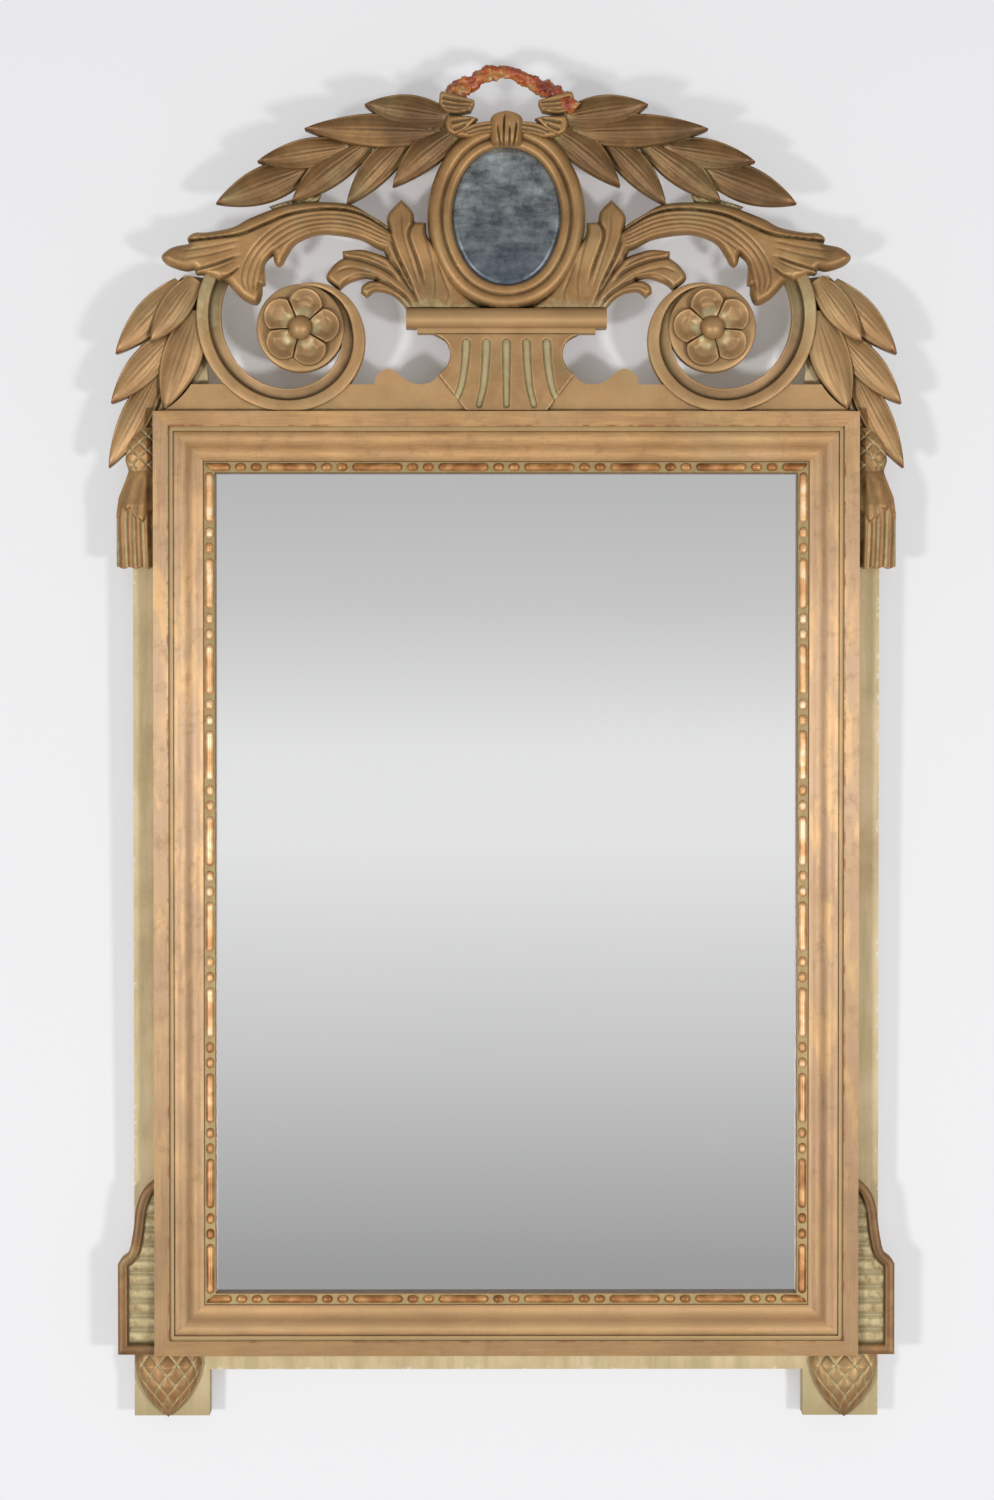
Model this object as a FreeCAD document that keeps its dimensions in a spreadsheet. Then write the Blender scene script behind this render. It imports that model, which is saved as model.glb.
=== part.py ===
import FreeCAD, Part
import math
import os
import Sketcher
from FreeCAD import Placement, Rotation, Vector

# Carved and gilt hall mirror. X to the right, Z up, the wall is the plane y = 0 and the front faces -Y.
# The origin is the middle of the bottom back rail's rear face.

# Driving dimensions in millimetres; counts have no unit.
SIZES = {
    # mouldings around the main glass
    "frame_width": 634,
    "frame_height": 850,
    "moulding_width": 55,
    "moulding_depth": 22,
    "fillet_width": 13.5,
    "quirk_width": 4,
    "quirk_step": 3,
    "ogee_step": 2,
    "ogee_drop": 7,
    "spline_length": 34,
    "spline_width": 18,
    "spline_thickness": 4,
    # bead-and-reel strips
    "bead_strip_width": 11,
    "bead_strip_depth": 9,
    "bead_width": 7,
    "bead_pitch": 77.4,
    "long_bead": 45,
    "short_bead": 9.6,
    # back frame
    "back_overhang": 20,
    "back_depth": 24,
    "back_rail_height": 64,
    "top_rail_height": 70,
    "hanger_recess": 8,
    "foot_drop": 42,
    "tenon_length": 40,
    "tenon_thickness": 8,
    "tenon_margin": 12,
    "mortise_gap": 0.5,
    "peg_diameter": 8,
    "peg_length": 20,
    "peg_spacing": 16,
    "fit_clearance": 0.05,
    # glass, blocks and backing
    "glass_lip": 7,
    "glass_play": 2,
    "glass_thickness": 4,
    "backing_thickness": 6,
    "rebate_width": 12,
    "rebate_depth": 8,
    "board_play": 1,
    "block_length": 40,
    "block_width": 8,
    "blocks_per_stile": 3,
    "blocks_per_rail": 2,
    # screws
    "screw_shank": 3,
    "screw_length": 16,
    "lap_screw_length": 13,
    "urn_screw_length": 26,
    "screw_head": 7,
    "screw_head_height": 1.7,
    "screws_per_stile": 4,
    "screws_per_rail": 3,
    # crest as a whole
    "crest_height": 311,
    "ear_depth": 16,
    "spine_width": 50,
    "spine_height": 202,
    "spine_lap": 48,
    "spine_lap_depth": 8,
    # urn
    "urn_height": 70,
    "urn_depth": 18,
    "urn_foot_width": 72,
    "urn_belly_width": 122,
    "urn_belly_height": 33,
    "urn_top_width": 132,
    "flute_count": 5,
    "flute_width": 7.5,
    "flute_top_pitch": 17,
    "flute_bottom_pitch": 23.5,
    "flute_margin": 7,
    "rim_width": 180,
    "rim_height": 18,
    "rim_depth": 24,
    "under_rim_width": 160,
    "under_rim_height": 4.4,
    # oval looking glass
    "oval_width": 97.4,
    "oval_height": 123.2,
    "oval_end_radius": 38,
    "oval_inner_ring": 9.7,
    "oval_outer_ring": 12.7,
    "oval_seat": 1,
    "oval_rebate": 5,
    "oval_glass_thickness": 3,
    "oval_backing_thickness": 6,
    # ribbon
    "knot_size": 30.6,
    "knot_depth": 16,
    "ribbon_thickness": 9.6,
    # carving
    "rail_carving": 14,
    "leaf_carving": 16,
    "volute_radius": 39.5,
    "volute_growth": 17.7,
    "volute_band": 22,
    "volute_flat": 11,
    "volute_ground": 10,
    "volute_rise": 8,
    "rosette_radius": 36,
    "rosette_depth": 12,
    "boss_radius": 11,
    "petal_count": 5,
    # corner ornaments
    "tassel_width": 34,
    "tassel_knot_height": 33,
    "tassel_skirt_height": 88,
    "tassel_drop": 22,
    "tassel_depth": 15,
    "bracket_width": 33.5,
    "bracket_height": 159,
    "bracket_shoulder": 82,
    "bracket_neck": 22,
    "bracket_cap": 15,
    "bracket_depth": 16,
    "bracket_border": 9.5,
    "bracket_groove": 4,
    "bracket_pitch": 12.9,
    "bracket_grooves": 6,
    "pendant_width": 62,
    "pendant_height": 58,
    "pendant_depth": 16,
    # hangers
    "hanger_offset": 200,
    "hanger_drop": 6,
    "strap_width": 14,
    "strap_length": 50,
    "strap_thickness": 1.2,
    "barrel_wall": 1.2,
    "ring_wire": 4,
    "ring_half_width": 12,
    "ring_reach": 24,
    "ring_corner": 3,
    "ring_clearance": 0.3,
    "strap_screw_edge": 6,
    "strap_screw_pitch": 10,
}

doc = FreeCAD.newDocument("hall_mirror")
sheet = doc.addObject("Spreadsheet::Sheet", "sizes")
for row, (alias, amount) in enumerate(SIZES.items(), start=1):
    sheet.set(f"A{row}", alias)
    sheet.set(f"B{row}", str(amount))
    sheet.setAlias(f"B{row}", alias)
doc.recompute()

# Planes that several pieces share, as expressions on the sheet.
HALF_FRAME = "(sizes.frame_width / 2)"
HALF_BACK = "(sizes.frame_width / 2 + sizes.back_overhang)"
HALF_OPENING = "(sizes.frame_width / 2 - sizes.moulding_width + sizes.glass_lip)"
OPENING_BOTTOM = "(sizes.back_rail_height / 2)"
FRAME_BOTTOM = "(sizes.back_rail_height / 2 + sizes.glass_lip - sizes.moulding_width)"
FRAME_TOP = f"({FRAME_BOTTOM} + sizes.frame_height)"
OPENING_TOP = f"({FRAME_TOP} - sizes.moulding_width + sizes.glass_lip)"
STILE_TOP = f"({OPENING_TOP} + sizes.top_rail_height)"
FOOT_BOTTOM = "(-sizes.back_rail_height / 2 - sizes.foot_drop)"
FACE = "(-sizes.back_depth)"
FRONT = "(-sizes.back_depth - sizes.moulding_depth)"
STRIP_OUTER = "(sizes.moulding_width - sizes.bead_strip_width)"
GLASS_BACK = "(-sizes.back_depth + sizes.glass_thickness)"
BOARD_FRONT = "(-sizes.rebate_depth)"
BOARD_BACK = "(-sizes.rebate_depth + sizes.backing_thickness)"
RECESS = "(-sizes.hanger_recess)"
RIM_TOP = f"({FRAME_TOP} + sizes.urn_height + sizes.under_rim_height + sizes.rim_height)"

nodes = []


def number(expression):
    """Value of an expression on the sheet."""
    return float(sheet.evalExpression(str(expression)))


def node(item, label):
    """Name a finished piece and keep it for export."""
    item.Label = label
    nodes.append(item)
    return item


def feature(label, shape):
    """Piece whose form is set directly."""
    item = doc.addObject("Part::Feature", label)
    item.Shape = shape
    item.Placement = Placement()
    return item


def pair(label, shape):
    """The same carved piece on the right and, mirrored, on the left."""
    node(feature(f"{label}_right", shape), f"{label}_right")
    mirrored = shape.mirror(Vector(0, 0, 0), Vector(1, 0, 0))
    node(feature(f"{label}_left", mirrored), f"{label}_left")


def span(sign, near, far):
    """Low and high bound across, on the right for sign 1 and mirrored for sign -1."""
    if sign > 0:
        return near, far
    return f"-({far})", f"-({near})"


def box(name, across, depth, height):
    """Block between its low and high bounds, each an expression."""
    item = doc.addObject("Part::Box", name)
    bounds = (("Length", "x", across), ("Width", "y", depth), ("Height", "z", height))
    for side, axis, (low, high) in bounds:
        item.setExpression(side, f"({high}) - ({low})")
        item.setExpression(f"Placement.Base.{axis}", low)
    return item


def rod(name, radius, length, place, turn):
    """Cylinder of given radius and length from a place, turned from +Z by a rotation."""
    item = doc.addObject("Part::Cylinder", name)
    item.Placement = Placement(Vector(), turn)
    item.setExpression("Radius", radius)
    item.setExpression("Height", length)
    for axis, value in zip("xyz", place):
        item.setExpression(f"Placement.Base.{axis}", value)
    return item


FORWARD = Rotation(Vector(1, 0, 0), 90)
ACROSS = Rotation(Vector(0, 1, 0), 90)


def group(name, items):
    item = doc.addObject("Part::Compound", name)
    item.Links = items
    return item


def cut(name, base, tools):
    """Base with all the tools taken away."""
    item = doc.addObject("Part::Cut", name)
    item.Base = base
    item.Tool = tools[0] if len(tools) == 1 else group(f"{name}_tools", tools)
    return item


def fuse(name, items):
    item = doc.addObject("Part::MultiFuse", name)
    item.Shapes = items
    return item


def new_sketch(body, name, role, offset="0"):
    """Sketch on one of the body's origin planes, moved along the plane's normal."""
    sketch = body.newObject("Sketcher::SketchObject", name)
    plane = [item for item in body.Origin.OriginFeatures if item.Role == role][0]
    sketch.AttachmentSupport = [(plane, "")]
    sketch.MapMode = "FlatFace"
    sketch.setExpression("AttachmentOffset.Base.z", offset)
    return sketch


def arc_between(first, last, bow):
    """Arc from first to last that stands off its chord by bow times the chord, to the left."""
    chord = last - first
    left = Vector(-chord.y, chord.x, 0)
    middle = (first + last) * 0.5 + left * bow
    if bow < 0:
        return Part.Arc(first, middle, last), 1, 2
    return Part.Arc(last, middle, first), 2, 1


def add_loop(sketch, corners, bows=None):
    """Closed loop through corners given as expressions; bows makes some sides arcs."""
    bows = bows or {}
    start = sketch.GeometryCount
    count = len(corners)
    points = [Vector(number(across), number(up), 0) for across, up in corners]
    ends = []
    for side in range(count):
        first = points[side]
        last = points[(side + 1) % count]
        if side in bows:
            curve, begin, finish = arc_between(first, last, bows[side])
        else:
            curve, begin, finish = Part.LineSegment(first, last), 1, 2
        sketch.addGeometry(curve, False)
        ends.append((begin, finish))
    for side in range(count):
        after = (side + 1) % count
        joint = ("Coincident", start + side, ends[side][1], start + after, ends[after][0])
        sketch.addConstraint(Sketcher.Constraint(*joint))
    for side, (across, up) in enumerate(corners):
        for kind, expression in (("DistanceX", across), ("DistanceY", up)):
            place = (kind, -1, 1, start + side, ends[side][0], number(expression))
            index = sketch.addConstraint(Sketcher.Constraint(*place))
            sketch.setExpression(f"Constraints[{index}]", expression)
    for side, bow in bows.items():
        (across, up), (next_across, next_up) = corners[side], corners[(side + 1) % count]
        chord = f"sqrt((({next_across}) - ({across})) ^ 2 + (({next_up}) - ({up})) ^ 2)"
        radius = f"{chord} * {(1 + 4 * bow * bow) / (8 * abs(bow)):.6f}"
        index = sketch.addConstraint(Sketcher.Constraint("Radius", start + side, number(radius)))
        sketch.setExpression(f"Constraints[{index}]", radius)


def pad(body, sketch, length, symmetric=False):
    item = body.newObject("PartDesign::Pad", f"{body.Name}_pad")
    item.Profile = sketch
    item.setExpression("Length", length)
    if symmetric:
        item.SideType = "Symmetric"
    return item


# Screws are laid out first, because the boards that they pass through are drilled for them.
def screw(name, across, head_back, up, length):
    """Pan-head screw driven forward, with its head's underside at head_back."""
    shank = rod(f"{name}_shank", "sizes.screw_shank / 2", length, (across, head_back, up), FORWARD)
    head = rod(f"{name}_head", "sizes.screw_head / 2", "sizes.screw_head_height",
               (across, f"{head_back} + sizes.screw_head_height", up), FORWARD)
    return fuse(name, [shank, head])


def screw_hole(name, across, head_back, up, length):
    """Clearance hole for a screw's shank, a little deeper than the screw."""
    return rod(name, "sizes.screw_shank / 2 + sizes.fit_clearance", f"{length} + sizes.mortise_gap",
               (across, head_back, up), FORWARD)


def spread(low, high, count):
    """Evenly spaced places between two expressions, half a step in from each."""
    return [f"({low}) + (({high}) - ({low})) * {(step + 0.5) / count:.6f}" for step in range(count)]


def make_screws(label, spots):
    """One node of alike screws, and the holes that they need."""
    screws = []
    holes = []
    for index, spot in enumerate(spots, start=1):
        screws.append(screw(f"{label}_{index}", *spot))
        holes.append(screw_hole(f"{label}_hole_{index}", *spot))
    node(group(label, screws), label)
    return holes


def backing_spots(edge):
    """Screw places along one edge of the backing board."""
    if edge in ("left", "right"):
        across = f"({HALF_OPENING} + sizes.rebate_width / 2)"
        if edge == "left":
            across = f"-{across}"
        heights = spread(OPENING_BOTTOM, OPENING_TOP, int(number("sizes.screws_per_stile")))
        return [(across, BOARD_BACK, up, "sizes.screw_length") for up in heights]
    up = f"{OPENING_TOP} + sizes.rebate_width / 2"
    if edge == "bottom":
        up = f"{OPENING_BOTTOM} - sizes.rebate_width / 2"
    places = spread(f"-{HALF_OPENING}", HALF_OPENING, int(number("sizes.screws_per_rail")))
    return [(across, BOARD_BACK, up, "sizes.screw_length") for across in places]


edges = ("left", "right", "bottom", "top")
spots_by_edge = {edge: backing_spots(edge) for edge in edges}
all_spots = [spot for edge in edges for spot in spots_by_edge[edge]]
all_holes = make_screws("backing_screws", all_spots)
holes_by_edge = {}
for edge in edges:
    first = all_spots.index(spots_by_edge[edge][0])
    holes_by_edge[edge] = all_holes[first:first + len(spots_by_edge[edge])]

HANGER_AXIS = f"({STILE_TOP} - sizes.hanger_drop)"
STRAP_BACK = f"({RECESS} + sizes.strap_thickness)"
STRAP_BOTTOM = f"({HANGER_AXIS} - sizes.strap_length)"
hanger_spots = {}
for side, sign in (("left", "-1"), ("right", "1")):
    lower = f"({STRAP_BOTTOM} + sizes.strap_screw_edge)"
    rows = (lower, f"{lower} + sizes.strap_screw_pitch")
    middle = f"{sign} * sizes.hanger_offset"
    hanger_spots[side] = [(middle, STRAP_BACK, up, "sizes.screw_length") for up in rows]
hanger_holes = make_screws("hanger_screws", hanger_spots["left"] + hanger_spots["right"])

LAP_BOTTOM = f"({STILE_TOP} - sizes.spine_lap)"
spine_rows = (f"{LAP_BOTTOM} + sizes.spine_lap / 4", f"{STILE_TOP} - sizes.spine_lap / 4")
spine_spots = [("0", RECESS, up, "sizes.lap_screw_length") for up in spine_rows]
URN_SCREW = f"{FRAME_TOP} + sizes.urn_height / 2"
urn_spots = [(f"{sign} * sizes.spine_width / 4", RECESS, URN_SCREW, "sizes.urn_screw_length")
             for sign in ("-1", "1")]
spine_holes = make_screws("spine_screws", spine_spots + urn_spots)


# Back frame: two stiles that end in feet, and two rails tenoned and pegged into them.
def tenon_heights(rail):
    """Low and high edge of a rail's tenons."""
    if rail == "top":
        return f"{OPENING_TOP} + sizes.tenon_margin", f"{STILE_TOP} - sizes.tenon_margin"
    return (f"{OPENING_BOTTOM} - sizes.back_rail_height + sizes.tenon_margin",
            f"{OPENING_BOTTOM} - sizes.tenon_margin")


TENON_DEPTHS = ("-(sizes.back_depth + sizes.hanger_recess) / 2 - sizes.tenon_thickness / 2",
                "-(sizes.back_depth + sizes.hanger_recess) / 2 + sizes.tenon_thickness / 2")
PEG_ACROSS = f"({HALF_OPENING} + sizes.tenon_length / 2)"


def peg_spots(sign, rail):
    low, high = tenon_heights(rail)
    middle = f"(({low}) + ({high})) / 2"
    return [(f"{sign} * {PEG_ACROSS}", FACE, f"{middle} + {step} * sizes.peg_spacing / 2") for step in (-1, 1)]


def peg_rods(name, sign, rail, grow, length):
    """Peg-sized rods from the face of the back frame backwards, for pegs or their holes."""
    turn = Rotation(Vector(1, 0, 0), -90)
    return [rod(f"{name}_{rail}_{sign}_{index}", f"sizes.peg_diameter / 2 + {grow}", length, spot, turn)
            for index, spot in enumerate(peg_spots(sign, rail))]


def peg_holes(name, sign, rail):
    return peg_rods(name, sign, rail, "sizes.fit_clearance", "sizes.peg_length + sizes.mortise_gap")


def stile(side, sign):
    blank = box(f"stile_{side}_blank", span(sign, HALF_OPENING, HALF_BACK), (FACE, "0"),
                (FOOT_BOTTOM, STILE_TOP))
    rebate = box(f"stile_{side}_rebate", span(sign, HALF_OPENING, f"{HALF_OPENING} + sizes.rebate_width"),
                 (BOARD_FRONT, "0"),
                 (f"{OPENING_BOTTOM} - sizes.rebate_width", f"{OPENING_TOP} + sizes.rebate_width"))
    mortise_end = f"{HALF_OPENING} + sizes.tenon_length + sizes.mortise_gap"
    tools = [rebate]
    for rail in ("bottom", "top"):
        tools.append(box(f"mortise_{side}_{rail}", span(sign, HALF_OPENING, mortise_end),
                         TENON_DEPTHS, tenon_heights(rail)))
    bored = cut(f"stile_{side}_mortised", blank, tools)
    pegs = peg_holes("stile_hole", sign, "bottom") + peg_holes("stile_hole", sign, "top")
    node(cut(f"stile_{side}_drilled", bored, pegs + holes_by_edge[side]), f"back_stile_{side}")


def back_rail(rail):
    across = (f"-{HALF_OPENING}", HALF_OPENING)
    if rail == "top":
        depth = (FACE, RECESS)
        height = (OPENING_TOP, STILE_TOP)
    else:
        depth = (FACE, "0")
        height = (f"{OPENING_BOTTOM} - sizes.back_rail_height", OPENING_BOTTOM)
    blank = box(f"rail_{rail}_blank", across, depth, height)
    tenon_end = f"{HALF_OPENING} + sizes.tenon_length"
    tenons = box(f"rail_{rail}_tenons", (f"-({tenon_end})", tenon_end), TENON_DEPTHS, tenon_heights(rail))
    pegs = peg_holes("rail_hole", -1, rail) + peg_holes("rail_hole", 1, rail)
    joined = fuse(f"rail_{rail}_joined", [blank, tenons])
    tools = pegs + holes_by_edge[rail]
    if rail == "top":
        lap = box("rail_top_lap", ("-sizes.spine_width / 2", "sizes.spine_width / 2"),
                  (f"{RECESS} - sizes.spine_lap_depth", RECESS), (LAP_BOTTOM, STILE_TOP))
        joined = cut("rail_top_lapped", joined, [lap])
        tools = tools + hanger_holes + spine_holes[:2]
    else:
        rebate = box("rail_bottom_rebate", across, (BOARD_FRONT, "0"),
                     (f"{OPENING_BOTTOM} - sizes.rebate_width", OPENING_BOTTOM))
        joined = cut("rail_bottom_rebated", joined, [rebate])
    node(cut(f"rail_{rail}_drilled", joined, tools), f"back_rail_{rail}")


for side, sign in (("left", -1), ("right", 1)):
    stile(side, sign)
for rail in ("bottom", "top"):
    back_rail(rail)
pegs = [peg for rail in ("bottom", "top") for sign in (-1, 1)
        for peg in peg_rods("peg", sign, rail, "0", "sizes.peg_length")]
node(group("tenon_pegs", pegs), "tenon_pegs")


# Main glass, the blocks that press it forward, and the backing board.
glass = box("mirror_glass", (f"-{HALF_OPENING} + sizes.glass_play", f"{HALF_OPENING} - sizes.glass_play"),
            (FACE, GLASS_BACK),
            (f"{OPENING_BOTTOM} + sizes.glass_play", f"{OPENING_TOP} - sizes.glass_play"))
node(glass, "mirror_glass")

board_half = f"{HALF_OPENING} + sizes.rebate_width - sizes.board_play"
board = box("board_blank", (f"-({board_half})", board_half), (BOARD_FRONT, BOARD_BACK),
            (f"{OPENING_BOTTOM} - sizes.rebate_width + sizes.board_play",
             f"{OPENING_TOP} + sizes.rebate_width - sizes.board_play"))
node(cut("board_drilled", board, all_holes), "backing_board")

block_depth = (GLASS_BACK, BOARD_FRONT)
blocks = []
for index, up in enumerate(spread(OPENING_BOTTOM, OPENING_TOP, int(number("sizes.blocks_per_stile")))):
    height = (f"{up} - sizes.block_length / 2", f"{up} + sizes.block_length / 2")
    for sign in (-1, 1):
        across = span(sign, f"{HALF_OPENING} - sizes.block_width", HALF_OPENING)
        blocks.append(box(f"stile_block_{index}_{sign}", across, block_depth, height))
for index, place in enumerate(spread(f"-{HALF_OPENING}", HALF_OPENING, int(number("sizes.blocks_per_rail")))):
    across = (f"{place} - sizes.block_length / 2", f"{place} + sizes.block_length / 2")
    low = (OPENING_BOTTOM, f"{OPENING_BOTTOM} + sizes.block_width")
    high = (f"{OPENING_TOP} - sizes.block_width", OPENING_TOP)
    blocks.append(box(f"bottom_block_{index}", across, block_depth, low))
    blocks.append(box(f"top_block_{index}", across, block_depth, high))
node(group("glass_blocks", blocks), "glass_blocks")


# Mitre splines: one loose tongue across each corner of the front moulding.
def mitre_spline(sign, end):
    """Tongue centred on the mitre, lying across it at 45 degrees."""
    item = doc.addObject("Part::Box", f"spline_{end}_{sign}")
    slope = 45 if (sign > 0) == (end == "top") else -45
    turn = Rotation(Vector(0, 1, 0), slope)
    item.setExpression("Length", "sizes.spline_width")
    item.setExpression("Width", "sizes.spline_thickness")
    item.setExpression("Height", "sizes.spline_length")
    corner = turn.multVec(Vector(0.5, 0, 0))
    rise = turn.multVec(Vector(0, 0, 0.5))
    item.Placement = Placement(Vector(), turn)
    middle = "(sizes.moulding_width - sizes.bead_strip_width) / 2"
    edge = f"{FRAME_TOP} - {middle}" if end == "top" else f"{FRAME_BOTTOM} + {middle}"
    shift_x = f"({corner.x:.6f}) * sizes.spline_width + ({rise.x:.6f}) * sizes.spline_length"
    shift_z = f"({corner.z:.6f}) * sizes.spline_width + ({rise.z:.6f}) * sizes.spline_length"
    item.setExpression("Placement.Base.x", f"{sign} * ({HALF_FRAME} - {middle}) - ({shift_x})")
    item.setExpression("Placement.Base.z", f"{edge} - ({shift_z})")
    item.setExpression("Placement.Base.y", f"{FACE} - sizes.bead_strip_depth / 2 - sizes.spline_thickness / 2")
    return item


splines = [mitre_spline(sign, end) for end in ("bottom", "top") for sign in (-1, 1)]
spline_group = node(group("mitre_splines", splines), "mitre_splines")

# Front mouldings: outer fillet, sunk quirk, ogee falling to the bead strip.
QUIRK_FACE = f"({FRONT} + sizes.quirk_step)"
OGEE_FACE = f"({FRONT} + sizes.quirk_step + sizes.ogee_step)"
OGEE_START = "(sizes.fillet_width + sizes.quirk_width)"
PROFILE = [
    ("0", FACE),
    ("0", FRONT),
    ("sizes.fillet_width", FRONT),
    ("sizes.fillet_width", QUIRK_FACE),
    (OGEE_START, QUIRK_FACE),
    (OGEE_START, OGEE_FACE),
    (f"({OGEE_START} + {STRIP_OUTER}) / 2", f"{OGEE_FACE} + sizes.ogee_drop / 2"),
    (STRIP_OUTER, f"{OGEE_FACE} + sizes.ogee_drop"),
    (STRIP_OUTER, FACE),
]
OGEE_BOW = 0.16


def moulding(side):
    body = doc.addObject("PartDesign::Body", f"moulding_body_{side}")
    turn = 1 if side in ("right", "bottom") else -1
    bows = {5: turn * OGEE_BOW, 6: -turn * OGEE_BOW}
    mitres = new_sketch(body, f"mitres_{side}", "XZ_Plane")
    inner = f"({HALF_FRAME} - sizes.moulding_width)"
    low_inner = f"{FRAME_BOTTOM} + sizes.moulding_width"
    high_inner = f"{FRAME_TOP} - sizes.moulding_width"
    if side in ("left", "right"):
        sign = "-" if side == "left" else ""
        profile = new_sketch(body, f"profile_{side}", "XY_Plane", FRAME_BOTTOM)
        add_loop(profile, [(f"{sign}({HALF_FRAME} - {inset})", depth) for inset, depth in PROFILE], bows)
        blank = pad(body, profile, "sizes.frame_height")
        outer = f"{sign}{HALF_FRAME}"
        for end, corner in ((FRAME_BOTTOM, low_inner), (FRAME_TOP, high_inner)):
            add_loop(mitres, [(outer, end), (f"{sign}{inner}", end), (f"{sign}{inner}", corner)])
    else:
        edge = FRAME_BOTTOM if side == "bottom" else FRAME_TOP
        corner = low_inner if side == "bottom" else high_inner
        inward = "+" if side == "bottom" else "-"
        profile = new_sketch(body, f"profile_{side}", "YZ_Plane")
        add_loop(profile, [(depth, f"{edge} {inward} {inset}") for inset, depth in PROFILE], bows)
        blank = pad(body, profile, "sizes.frame_width", symmetric=True)
        for sign in ("-", ""):
            outer = f"{sign}{HALF_FRAME}"
            add_loop(mitres, [(outer, edge), (outer, corner), (f"{sign}{inner}", corner)])
    pocket = body.newObject("PartDesign::Pocket", f"mitre_cut_{side}")
    pocket.Profile = mitres
    pocket.Type = "ThroughAll"
    pocket.Reversed = True
    doc.recompute()
    if pocket.Shape.Volume > 0.99 * blank.Shape.Volume:
        raise ValueError(f"the mitres of the {side} moulding cut nothing")
    node(cut(f"moulding_slotted_{side}", body, [spline_group]), f"moulding_{side}")


for side in edges:
    moulding(side)


# Bead strips: long and short beads along a mitred ground, with a pair of short ones in the middle.
def capsule(start, end, radius):
    axis = end - start
    tube = Part.makeCylinder(radius, axis.Length, start, axis)
    return tube.fuse([Part.makeSphere(radius, start), Part.makeSphere(radius, end)])


def bead_strip(side):
    half_across = number(HALF_FRAME) - number(STRIP_OUTER)
    low = number(FRAME_BOTTOM) + number(STRIP_OUTER)
    high = number(FRAME_TOP) - number(STRIP_OUTER)
    width = number("sizes.bead_strip_width")
    upright = side in ("left", "right")
    half = (high - low) / 2 if upright else half_across
    edge = half_across if upright else (high - low) / 2
    outline = [(-half, edge), (half, edge), (half - width, edge - width), (width - half, edge - width)]
    turns = {"top": 0, "right": 90, "bottom": 180, "left": 270}
    turn = Rotation(Vector(0, 1, 0), turns[side])
    centre = Vector(0, 0, (low + high) / 2)
    ground = number(FACE) - number("sizes.bead_strip_depth")

    def place(along, up, depth):
        return turn.multVec(Vector(along, 0, up)) + centre + Vector(0, depth, 0)

    corners = [place(along, up, number(FACE)) for along, up in outline]
    face = Part.Face(Part.makePolygon(corners + corners[:1]))
    strip = face.extrude(Vector(0, -number("sizes.bead_strip_depth"), 0))
    radius = number("sizes.bead_width") / 2
    pitch = number("sizes.bead_pitch")
    long_bead = number("sizes.long_bead")
    short_bead = number("sizes.short_bead")
    gap = (pitch - long_bead - 2 * short_bead) / 3
    beads = []
    groups = math.ceil(half / pitch) + 1
    for step in range(-groups, groups):
        middle = (step + 0.5) * pitch
        after = middle + long_bead / 2 + gap + short_bead / 2
        for centre_along, length in ((middle, long_bead), (after, short_bead),
                                     (after + short_bead + gap, short_bead)):
            reach = length / 2 - radius
            if abs(centre_along) - length / 2 < half - width / 2:
                row = edge - width / 2
                beads.append(capsule(place(centre_along - reach, row, ground),
                                     place(centre_along + reach, row, ground), radius))
    proud = face.extrude(Vector(0, -number("sizes.bead_strip_depth") - 2 * radius, 0))
    clipped = [bead.common(proud) for bead in beads]
    whole = strip.fuse([bead for bead in clipped if bead.Volume > radius])
    node(feature(f"bead_strip_{side}", whole.removeSplitter()), f"bead_strip_{side}")


for side in edges:
    bead_strip(side)

# The crest's carving is drawn as a pattern, u across from the middle and w up from the frame's top,
# and the pattern is stretched to the back frame's width and the crest's height.
PATTERN_HALF_WIDTH = 337
PATTERN_HEIGHT = 311
stretch_u = number(HALF_BACK) / PATTERN_HALF_WIDTH
stretch_w = number("sizes.crest_height") / PATTERN_HEIGHT
frame_top = number(FRAME_TOP)
face_plane = number(FACE)
THROUGH = 200


def at(point):
    """Pattern point on the plane that all carving is glued to."""
    return Vector(point[0] * stretch_u, face_plane, frame_top + point[1] * stretch_w)


def stroke(points):
    """Straight line through two pattern points, smooth curve through more."""
    places = [at(point) for point in points]
    if len(places) == 2:
        return Part.makeLine(places[0], places[1])
    curve = Part.BSplineCurve()
    curve.interpolate(places)
    return curve.toShape()


def plan(strokes):
    """Flat face bounded by strokes that follow each other."""
    return Part.Face(Part.Wire([stroke(points) for points in strokes]))


def relief(face, height):
    return face.extrude(Vector(0, -height, 0))


def through(face):
    """Prism that clears a face's plan out of whatever lies beside it."""
    return face.translated(Vector(0, THROUGH / 2, 0)).extrude(Vector(0, -THROUGH, 0))


def joined(shapes):
    if len(shapes) == 1:
        return shapes[0]
    return shapes[0].fuse(shapes[1:]).removeSplitter()


def trimmed(shape, tools):
    """Shape with the tools taken away, and only its largest piece kept."""
    solids = shape.cut(tools).Solids
    return max(solids, key=lambda solid: solid.Volume)


LEAF_CROWN = 0.4


def beside(base, tip, offset):
    """Point to the left of the middle of a run, both in the pattern."""
    run_u = tip[0] - base[0]
    run_w = tip[1] - base[1]
    share = offset / math.hypot(run_u, run_w)
    return at(((base[0] + tip[0]) / 2 - run_w * share, (base[1] + tip[1]) / 2 + run_u * share))


def leaf_face(base, tip, width, bow):
    """Pointed leaf between two arcs; bow moves its middle to the left of its run."""
    left = Part.Arc(at(base), beside(base, tip, bow + width / 2), at(tip)).toShape()
    right = Part.Arc(at(tip), beside(base, tip, bow - width / 2), at(base)).toShape()
    return Part.Face(Part.Wire([left, right]))


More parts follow.
